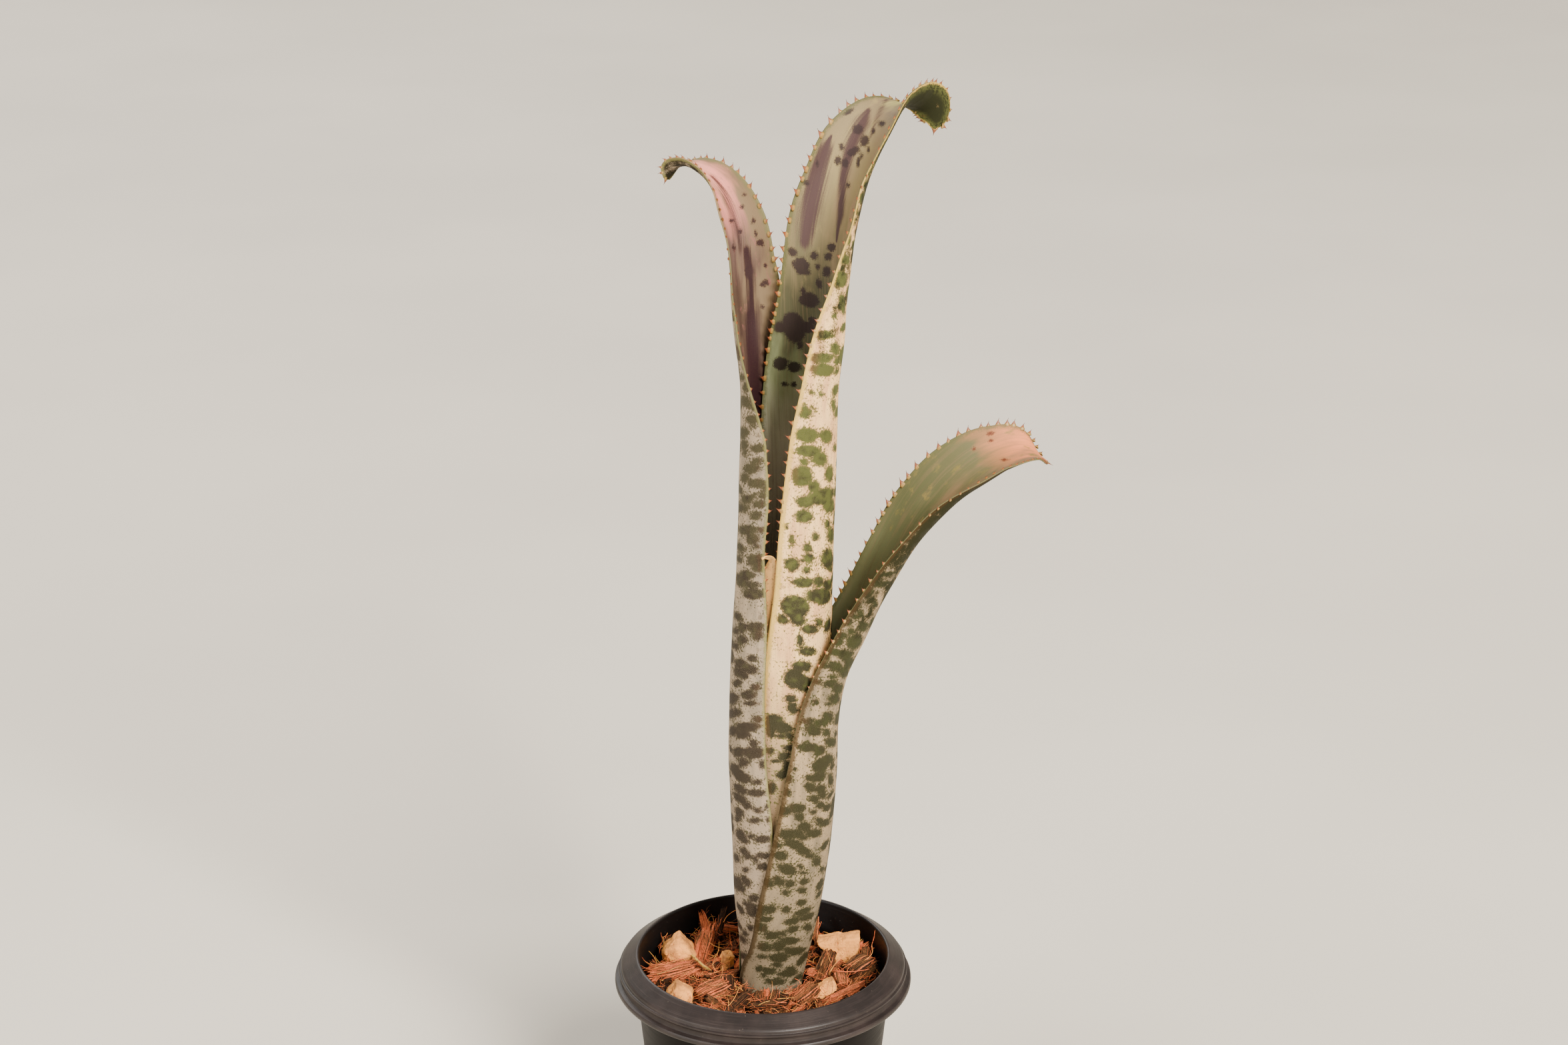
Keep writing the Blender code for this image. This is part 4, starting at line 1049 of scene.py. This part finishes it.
# Larger chips: middle x, y, z, length, width, depth, bearing, tilt
LARGE_CHIPS = [
    (-36.0, 20.5, 86.0, 9, 6, 5, 60, 25), (-33.5, 3.0, 85.4, 20, 9, 6, 12, 6),
    (-22.5, 19.5, 86.6, 17, 8, 6, 75, 30), (-17.5, 27.5, 88.5, 20, 3.4, 3, 70, 38),
    (-21.5, 30.0, 87.5, 17, 3.4, 3, 112, 32), (-17.0, 35.0, 86.6, 15, 4, 3.4, 172, 5),
    (-18.5, -12.0, 85.0, 13, 10, 6, 20, 15), (-12.6, -10.8, 86.2, 8, 5, 4, 90, 50),
    (-8.0, -21.0, 85.0, 15, 5, 3.6, 50, 8), (15.5, -15.8, 85.6, 12, 9, 6, 40, 18),
    (22.8, 3.5, 86.3, 15, 7, 5, 65, 28), (29.0, -4.0, 85.2, 8, 6, 5, 95, 12),
    (36.3, 3.5, 86.0, 12, 10, 7, 30, 15), (38.0, 9.5, 87.0, 9, 4, 4, 80, 50),
    (29.3, -16.5, 86.2, 19, 3.6, 3, 30, 12), (19.5, 31.5, 87.0, 10, 4, 4, 80, 50),
    (2.2, -24.2, 85.0, 14, 8, 6, 2, 6), (-1.7, -18.8, 85.6, 6, 4, 4, 80, 40),
    (-35.0, -24.0, 84.4, 12, 6, 5, 30, 8), (34.0, -22.0, 84.2, 11, 6, 5, 130, 10),
    (36.0, 17.0, 84.8, 11, 6, 5, 60, 15), (2.0, 33.0, 85.0, 15, 6, 5, 10, 12),
    (-18.0, -33.0, 84.0, 14, 7, 5, 160, 8), (12.0, -36.0, 84.0, 14, 7, 5, 15, 8),
]
STRAW = (-23.2, 3.8, 88.2, 15, 1.5, 1.3, -62, 4)


def bed_height(x, y):
    """The filling's top surface: a low mound of formula-made bumps."""
    far = math.hypot(x, y) / POT_MOUTH_RADIUS
    bumps = math.sin(x * 0.31 + 1.3) * math.cos(y * 0.27 - 0.6) + 0.6 * math.sin(x * 0.63 - y * 0.52)
    return BED_LEVEL + 1.3 * bumps * (1 - 0.4 * far) - 1.5 * far**3


def chip_turn(bearing, tilt):
    """How a chip is turned from lying along X."""
    return Matrix.Rotation(math.radians(bearing), 3, "Z") @ Matrix.Rotation(-math.radians(tilt), 3, "Y")


def chip_mesh(place, seed):
    """Points and faces of a husk chip, ridged and frayed, and which strand of husk each point is on."""
    x, y, z, length, width, depth, bearing, tilt = place
    draw = random.Random(seed)
    along, around = max(6, int(length / CHIP_STEP)), max(12, int(2 * (width + depth) / CHIP_RIDGE))
    fray = [draw.uniform(0, 0.22) for _ in range(around)]
    ends = [[draw.uniform(-0.16, 0.05) for _ in range(around)] for _ in range(2)]
    bow, twist = draw.uniform(-0.12, 0.12) * length, draw.uniform(-0.5, 0.5)
    lying = chip_turn(bearing, tilt)
    points = []
    for i in range(along + 1):
        share = i / along
        swell = 0.72 + 0.28 * math.sin(math.pi * min(max(share * 1.1 - 0.05, 0), 1)) ** 0.6
        bend = bow * (1 - (2 * share - 1) ** 2)
        for k, turn in enumerate(turns(around)):
            blunt = max(abs(math.cos(turn)), abs(math.sin(turn))) ** -0.8
            ridge = 1 - fray[k] + 0.26 * noise.noise(Vector((share * 4, k * 1.7, seed * 3.1)))
            reach = blunt * swell * ridge / 1.15
            end = ends[0][k] if share < 0.5 else ends[1][k]
            pull = end * length * abs(2 * share - 1) ** 3 * (1 if share > 0.5 else -1)
            spin = turn + twist * (share - 0.5)
            side = math.cos(spin) * width / 2 * reach
            rise = math.sin(spin) * depth / 2 * reach + bend * 0.4
            spot = Vector(((share - 0.5) * length + pull, side, rise))
            points.append(tuple(lying @ spot + Vector((x, y, z))))
    strand = [k / around for _ in range(along + 1) for k in range(around)]
    return points, tube_faces(along + 1, around), strand


def clear_of_plant(x, y, reach):
    """Whether a chip of this reach stays in the pot and off the plant."""
    inside = math.hypot(x, y) + reach < BED_RADIUS + 0.5
    return inside and math.hypot(x - PLANT_X, y) > PLANT_RADIUS + reach * 0.55


def clear_of_stones(x, y, reach):
    """Whether a chip of this reach leaves the stones in view."""
    for stone in STONES.values():
        if math.hypot(x - stone["middle"][0], y - stone["middle"][1]) < stone["reach"] + reach * 0.5:
            return False
    return True


def small_chips():
    draw = random.Random(CHIP_SEED)
    places = []
    while len(places) < SMALL_CHIPS:
        x, y = round_z(POT_MOUTH_RADIUS * math.sqrt(draw.random()), draw.uniform(0, 2 * math.pi))
        length = draw.uniform(4.5, 12)
        width, depth = draw.uniform(0.25, 0.5) * length, draw.uniform(1.2, 3.0)
        spin, tilt, lift = draw.uniform(0, 180), draw.uniform(-28, 28), draw.uniform(-0.8, 1.4)
        if clear_of_plant(x, y, length / 2) and clear_of_stones(x, y, length / 2):
            places.append((x, y, bed_height(x, y) + lift, length, width, depth, spin, tilt))
    return places


def shifted(faces, start):
    """The faces of a mesh whose points come after start others."""
    return [tuple(start + index for index in face) for face in faces]


def make_husk(name, points, faces, material, tone, strand, sharp=180.0):
    """A piece of husk, with the tone and the strand that its material reads."""
    obj = mesh_piece(name, points, faces, [material], sharp=sharp)
    set_values(obj, "tone", tone)
    set_values(obj, "strand", strand)
    return obj


def make_chips(material):
    points, faces, tones, strands = [], [], [], []
    for k, place in enumerate(LARGE_CHIPS + [STRAW] + small_chips()):
        moved, made, strand = chip_mesh(place, k + 1)
        tone = STRAW_TONE if place is STRAW else random.Random(k + TONE_SEED).random()
        faces.extend(shifted(made, len(points)))
        tones.extend([tone] * len(moved))
        points.extend(moved)
        strands.extend(strand)
    chips = make_husk("husk_chips", points, faces, material, tones, strands, sharp=50)
    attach(chips, "root")


def make_bed(material):
    """The dark crumbly ground under the chips, down to the pot's floor."""
    hole = PLANT_RADIUS + BED_HOLE_GAP
    around = turns(BED_SEGMENTS)
    points = []
    for share in (ring / BED_RINGS for ring in range(BED_RINGS + 1)):
        for turn in around:
            (far_x, far_y), (near_x, near_y) = round_z(BED_RADIUS, turn), round_z(hole, turn)
            near_x += PLANT_X
            x, y = near_x + (far_x - near_x) * share, near_y + (far_y - near_y) * share
            rough = noise.fractal(Vector((x * 0.55, y * 0.55, 3.0)), 1.0, 2.0, 4)
            points.append((x, y, bed_height(x, y) - 0.6 + 1.5 * rough))
    floor_radius = POT_BASE_RADIUS - POT_WALL - 0.8
    for radius, height, middle in ((floor_radius, POT_FLOOR + 0.4, 0.0), (hole, BED_HOLE_FLOOR, PLANT_X)):
        for x, y in (round_z(radius, turn) for turn in around):
            points.append((middle + x, y, height))
    faces = []
    for low, high in [(r, r + 1) for r in range(BED_RINGS + 1)] + [(BED_RINGS + 2, 0)]:
        low, high = low * BED_SEGMENTS, high * BED_SEGMENTS
        for k in range(BED_SEGMENTS):
            after = (k + 1) % BED_SEGMENTS
            faces.append((low + k, high + k, high + after, low + after))
    underside = (BED_RINGS + 1) * BED_SEGMENTS
    faces.append(tuple(range(underside, underside + BED_SEGMENTS))[::-1])
    faces.append(tuple(range(underside + BED_SEGMENTS, underside + 2 * BED_SEGMENTS)))
    strands = [k % 7 / 7 for k in range(len(points))]
    bed = make_husk("husk_ground", points, faces, material, [BED_TONE] * len(points), strands, sharp=60)
    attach(bed, "root")
    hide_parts("husk_bed")


def fibre_mesh(start, heading, length, radius, seed):
    """Points and faces of one curly fibre as a thin four-sided tube."""
    draw = random.Random(seed)
    turn, climb = draw.uniform(-0.5, 0.5), draw.uniform(-0.22, 0.22)
    place, direction = Vector(start), Vector(heading).normalized()
    points = []
    for i in range(FIBRE_STEPS + 1):
        side = direction.cross(Vector((0.2, 0.1, 1))).normalized()
        top = side.cross(direction).normalized()
        thin = radius * (1 - 0.6 * i / FIBRE_STEPS)
        for offset in (side, top, -side, -top):
            points.append(tuple(place + offset * thin))
        place = place + direction * (length / FIBRE_STEPS)
        direction = (direction + side * turn * draw.uniform(0.3, 1) + top * climb).normalized()
        if place.z < bed_height(place.x, place.y) - 0.4:
            direction.z = abs(direction.z) + 0.2
    return points, tube_faces(FIBRE_STEPS + 1, 4)


def chip_fibres(place, draw):
    """Fibres that lie along a chip's top and stick out of its ends."""
    x, y, z, length, width, depth, bearing, tilt = place
    lying = chip_turn(bearing, tilt)
    strands = []
    for _ in range(int(3 + length * width / 7)):
        around = math.radians(draw.uniform(-20, 200))
        side, rise = 0.47 * width * math.cos(around), 0.47 * depth * math.sin(around)
        along = draw.uniform(-0.5, 0.25) * length
        start = lying @ Vector((along, side, rise)) + Vector((x, y, z))
        heading = lying @ Vector((1, draw.uniform(-0.15, 0.15), draw.uniform(-0.05, 0.12)))
        if draw.random() < 0.5:
            start += heading * (0.25 * length)
            heading = -heading
        reach, radius = draw.uniform(0.35, 0.75) * length, draw.uniform(0.07, 0.17)
        strands.append((tuple(start), tuple(heading), reach, radius))
    return strands


# Fibres that show clearly: start x, y, z, heading, length
SHOWN_FIBRES = [
    (-29.0, 42.5, 90.5, (0.05, -0.3, -0.5), 11),
    (-30.5, -6.0, 88.5, (-0.8, -0.75, 0.2), 24),
    (-16.0, -8.0, 87.5, (0.5, -0.6, 0.1), 12),
    (26.0, -3.0, 88.5, (0.7, -0.4, 0.1), 14),
    (33.0, -12.0, 87.5, (0.5, 0.6, 0.3), 12),
    (40.5, 10.0, 90.0, (0.05, 0.15, 0.9), 8),
]


def make_fibres(material):
    draw = random.Random(CHIP_SEED + 1)
    strands = [(s[:3], s[3], s[4], SHOWN_FIBRE_RADIUS) for s in SHOWN_FIBRES]
    while len(strands) < LOOSE_FIBRES:
        x, y = round_z(FIBRE_REACH * math.sqrt(draw.random()), draw.uniform(0, 2 * math.pi))
        bearing = draw.uniform(0, 2 * math.pi)
        length = draw.uniform(2, 8)
        end_x, end_y = x + length * math.cos(bearing), y + length * math.sin(bearing)
        if clear_of_plant(x, y, 1.0) and clear_of_plant(end_x, end_y, 0.5) and clear_of_stones(x, y, 0.5):
            start = (x, y, bed_height(x, y) + draw.uniform(0.6, 3.2))
            heading = (*round_z(1, bearing), draw.uniform(-0.1, 0.35))
            strands.append((start, heading, length, draw.uniform(0.06, 0.16)))
    for place in LARGE_CHIPS + small_chips():
        strands.extend(chip_fibres(place, draw))
    points, faces, tones = [], [], []
    for k, strand in enumerate(strands):
        moved, made = fibre_mesh(*strand, k)
        faces.extend(shifted(made, len(points)))
        points.extend(moved)
        tones.extend([0.45 + 0.75 * draw.random()] * len(moved))
    fibres = make_husk("husk_fibres", points, faces, material, tones, [0.5] * len(points))
    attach(fibres, "root")


def husk_material():
    """Coconut husk: orange-brown fibres from dark red-brown to pale straw, rough and grooved."""
    surface = Surface("coconut husk", (176, 98, 52), 0.8, 0.12)
    place, tone = surface.place(), surface.field("tone")
    fine = noise_of(place, 1300.0, 4.0, 0.7)
    across = {"W": surface.field("strand") * 36.0, "Scale": 1.0, "Detail": 3.0}
    streaks = surface.node("ShaderNodeTexNoise", across, noise_dimensions="1D")
    level = tone * 0.74 + noise_of(place, 160.0, 3.0) * 0.4 + (streaks - 0.5) * 1.5 + (fine - 0.5) * 0.8
    colour = mixed(step_of(level, 0.2, 0.56), (62, 41, 28), (148, 106, 68))
    colour = mixed(step_of(level, 0.56, 0.95), colour, (214, 166, 117))
    colour = mixed(step_of(tone, 1.0, 1.3), colour, (232, 206, 150))
    return surface.dressed(colour, (fine + streaks, 0.9, 0.6))


def stone_reach(stone, direction):
    """How far the stone goes in a direction from its middle: its broken faces, worn round between."""
    total = 0.0
    for bearing, rise, distance in stone["faces"]:
        tilt = math.radians(rise)
        outward = Vector((*round_z(math.cos(tilt), math.radians(bearing)), math.sin(tilt)))
        total += (max(outward.dot(direction), 0) / distance) ** STONE_ROUNDNESS
    return total ** (-1 / STONE_ROUNDNESS)


def make_stone(name, stone, material):
    """One stone: its broken faces worn round, with dents and pits over them."""
    bm = bmesh.new()
    bmesh.ops.create_icosphere(bm, subdivisions=STONE_SUBDIVISIONS, radius=1)
    middle = Vector(stone["middle"])
    points = []
    for vert in bm.verts:
        spot = vert.co * stone_reach(stone, vert.co)
        seeded = spot + middle * 2
        dent = noise.fractal(seeded * 0.28, 1.0, 2.0, 5) * 0.5
        pit = max(0.0, noise.noise(seeded * 1.1) - 0.35) * 1.3
        points.append(spot + vert.co * (dent - pit) + middle)
    faces = [tuple(v.index for v in f.verts) for f in bm.faces]
    bm.free()
    stone_piece = mesh_piece(name + "_worn", points, faces, [material])
    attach(stone_piece, "root")
    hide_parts(name)


def pumice_material():
    """Pale cream pumice with pores, faint rusty stains and a chalky face."""
    surface = Surface("pumice", (232, 212, 176), 0.9, 0.2)
    place = surface.place()
    broad, pores = noise_of(place, 170.0, 4.0, 0.6), cells_of(place, 900.0)
    colour = mixed(step_of(broad, 0.4, 0.68), (222, 195, 134), (196, 164, 104))
    colour = mixed(step_of(broad, 0.6, 0.75) * 0.4, colour, (176, 130, 84))
    colour = mixed(step_of(pores, 0.25, 0.1) * 0.35, colour, (160, 130, 98))
    height = noise_of(place, 1500.0, 3.0, 0.7) + step_of(pores, 0.05, 0.3) * 0.7
    return surface.dressed(colour, (height, 0.6, 0.3))


def pot_profile():
    """Radius and height pairs round the pot's wall, with the corners that a moulding has."""
    base, top, mouth = POT_BASE_RADIUS, POT_HEIGHT, POT_MOUTH_RADIUS
    inside = base - POT_WALL
    return [
        (0, 0), (base - 1.6, 0), (base - 0.7, 0.15), (base - 0.15, 0.6), (base, 1.3), (47.3, WALL_TOP),
        (47.45, top - 3.4), (47.6, top - 2.8), (48.0, top - 2.5), (48.5, top - 2.55), (50.9, top - 4.3),
        (51.4, top - 5.0), (51.6, top - 8.6), (51.9, top - 9.4), (53.3, top - 10.5), (54.2, top - 10.95),
        (54.7, top - 10.9), (54.95, top - 10.55), (POT_RIM_RADIUS, top - 10.0), (54.95, top - 9.4),
        (54.6, top - 8.95), (53.5, top - 8.7), (53.1, top - 8.5), (52.95, top - 8.1), (52.9, top - 6.7),
        (53.05, top - 6.3), (53.35, top - 6.1), (53.45, top - 5.8), (53.4, top - 5.4), (53.1, top - 5.15),
        (52.75, top - 5.1), (52.6, top - 4.8), (52.6, top - 4.2), (52.3, top - 3.75), (51.6, top - 3.3),
        (47.7, top - 0.55), (47.2, top - 0.2), (46.8, top), (46.4, top - 0.05), (46.1, top - 0.35),
        (mouth, top - 0.9), (mouth, WALL_TOP), (inside, POT_FLOOR + 1.4), (inside - 0.4, POT_FLOOR + 0.4),
        (inside - 1.4, POT_FLOOR), (0, POT_FLOOR),
    ]


def turned(profile, segments):
    """Points and faces of the profile's pairs turned round Z, closed at both ends."""
    points, rings = [], []
    for radius, height in profile:
        if radius == 0:
            rings.append([len(points)] * segments)
            points.append((0, 0, height))
            continue
        rings.append([len(points) + k for k in range(segments)])
        points.extend((*round_z(radius, turn), height) for turn in turns(segments))
    faces = []
    for lower, upper in zip(rings, rings[1:]):
        for k in range(segments):
            after = (k + 1) % segments
            faces.append(tuple(dict.fromkeys((lower[k], lower[after], upper[after], upper[k]))))
    return points, faces


def cut_drains(pot):
    """Cuts the drainage holes through the floor."""
    cutters = bpy.data.collections.new("drains")
    for k in range(DRAIN_COUNT):
        middle = Vector((*round_z(DRAIN_RING_RADIUS, 2 * math.pi * (k + 0.5) / DRAIN_COUNT), 0))
        points, faces = turned([(0, -1), (DRAIN_RADIUS, -1), (DRAIN_RADIUS, 4), (0, 4)], DRAIN_SEGMENTS)
        cutter = mesh_piece("drain", [Vector(p) + middle for p in points], faces, [])
        bpy.context.collection.objects.unlink(cutter)
        cutters.objects.link(cutter)
    cut = pot.modifiers.new("drains", "BOOLEAN")
    cut.operand_type = "COLLECTION"
    cut.collection = cutters
    bpy.context.view_layer.update()
    mesh = bpy.data.meshes.new_from_object(pot.evaluated_get(bpy.context.evaluated_depsgraph_get()))
    pot.modifiers.remove(cut)
    pot.data = mesh
    for cutter in list(cutters.objects):
        bpy.data.objects.remove(cutter)
    bpy.data.collections.remove(cutters)


def plastic_material():
    """Black plastic with fine scratches round the rim, a dusty bloom and a few pale specks, and painted
    shade on the wall under the rim and inside the mouth.
    """
    surface = Surface("black plastic", (40, 35, 33), 0.4)
    place = surface.place()
    split = surface.node("ShaderNodeSeparateXYZ", {"Vector": place}).socket.node
    x, y, z = (Value(surface.tree, socket) for socket in split.outputs)
    across = x * x + y * y
    round_it = {
        "X": across.combined("POWER", 0.5) * 2600.0,
        "Y": y.combined("ARCTAN2", x) * 2.0,
        "Z": z * 1600.0,
    }
    scratches = noise_of(surface.node("ShaderNodeCombineXYZ", round_it), 1.0, 4.0, 0.65)
    bloom = noise_of(place, 60.0, 4.0, 0.6)
    under = step_of(z, *(height * MM for height in DULL_AND_SHADED_HEIGHTS))
    shaded_inside = step_of(across, *((radius * MM) ** 2 for radius in SHADED_RADII))
    colour = mixed(step_of(bloom, 0.35, 0.75), (50, 42, 40), (78, 66, 63))
    colour = mixed(step_of(scratches, 0.52, 0.72) * 0.5, colour, (98, 86, 82))
    # Painted shade: near-black on the wall under the rim and on the wall inside the mouth
    colour = mixed(under.combined("MAXIMUM", shaded_inside), colour, (22, 18, 17))
    colour = mixed(step_of(cells_of(place, 330.0), 0.07, 0.03) * 0.7, colour, (140, 129, 119))
    height = scratches * 0.8 + noise_of(place, 2200.0, 2.0) * 0.4
    return surface.dressed(colour, (height, 0.4, 0.12), scratches * 0.3 + 0.3, 0.32 - under * 0.24)


def make_pot():
    points, faces = turned(pot_profile(), POT_SEGMENTS)
    pot = mesh_piece("nursery_pot", points, faces, [plastic_material()])
    cut_drains(pot)
    pot.data.shade_smooth()
    pot.data.set_sharp_from_angle(angle=math.radians(POT_SHARP_ANGLE))
    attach(pot, "root")
    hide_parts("pot")


def stem_material():
    """The hidden stem: pale, fibrous, with rusty leaf scars round it."""
    surface = Surface("pale stem", (170, 160, 116), 0.7)
    rings = noise_of(stretched(surface.place(), (60, 60, 900)), 1.0, 3.0)
    colour = mixed(step_of(rings, 0.4, 0.65), (176, 166, 122), (122, 88, 52))
    return surface.dressed(colour, (rings, 0.5, 0.3))


def floor_material():
    surface = Surface("studio floor", (214, 212, 208), 0.7)
    soft = noise_of(surface.place(), 3.0, 3.0)
    return surface.dressed(mixed(step_of(soft, 0.3, 0.7), (213, 211, 207), (215, 213, 209)))


def make_floor():
    """A round pale floor that curves up into a low wall all round."""
    line = [(0, 0), (FLOOR_RADIUS, 0)]
    for k in range(1, FLOOR_STEPS + 1):
        turn = math.pi / 2 * k / FLOOR_STEPS
        line.append((FLOOR_RADIUS + FLOOR_BEND * math.sin(turn), FLOOR_BEND - FLOOR_BEND * math.cos(turn)))
    line.append((FLOOR_RADIUS + FLOOR_BEND, FLOOR_BEND + FLOOR_WALL))
    points, faces = turned([(radius / MM, height / MM) for radius, height in line], FLOOR_SEGMENTS)
    floor = mesh_piece("studio_floor", points, faces, [floor_material()])


def area_light(name, place, size, power, tint):
    data = bpy.data.lights.new(name, "AREA")
    data.shape = "RECTANGLE"
    data.size, data.size_y = size
    data.energy = power
    data.color = tint
    light = bpy.data.objects.new(name, data)
    light.location = place
    aim = Vector(LIGHT_AIM) - light.location
    light.rotation_euler = aim.to_track_quat("-Z", "Y").to_euler()
    bpy.context.collection.objects.link(light)


def make_studio():
    make_floor()
    for name, light in LIGHTS.items():
        area_light(name, *light)
    world = bpy.data.worlds.new("studio")
    world.use_nodes = True
    world.node_tree.nodes["Background"].inputs["Color"].default_value = SKY
    world.node_tree.nodes["Background"].inputs["Strength"].default_value = SKY_STRENGTH
    bpy.context.scene.world = world
    data = bpy.data.cameras.new("photograph")
    data.lens = LENS
    data.sensor_width = SENSOR
    data.clip_end = 20
    camera = bpy.data.objects.new("photograph", data)
    camera.location = Vector(CAMERA_PLACE) * MM
    camera.rotation_euler = (math.radians(CAMERA_TURN), 0, 0)
    bpy.context.collection.objects.link(camera)
    bpy.context.scene.camera = camera


def main():
    make_leaves()
    husk = husk_material()
    make_bed(husk)
    make_chips(husk)
    make_fibres(husk)
    pumice = pumice_material()
    for name, stone in STONES.items():
        make_stone(name, stone, pumice)
    make_pot()
    stock = frame["nodes"]["stock"]
    stock.data.materials[0] = stem_material()
    make_studio()


main()
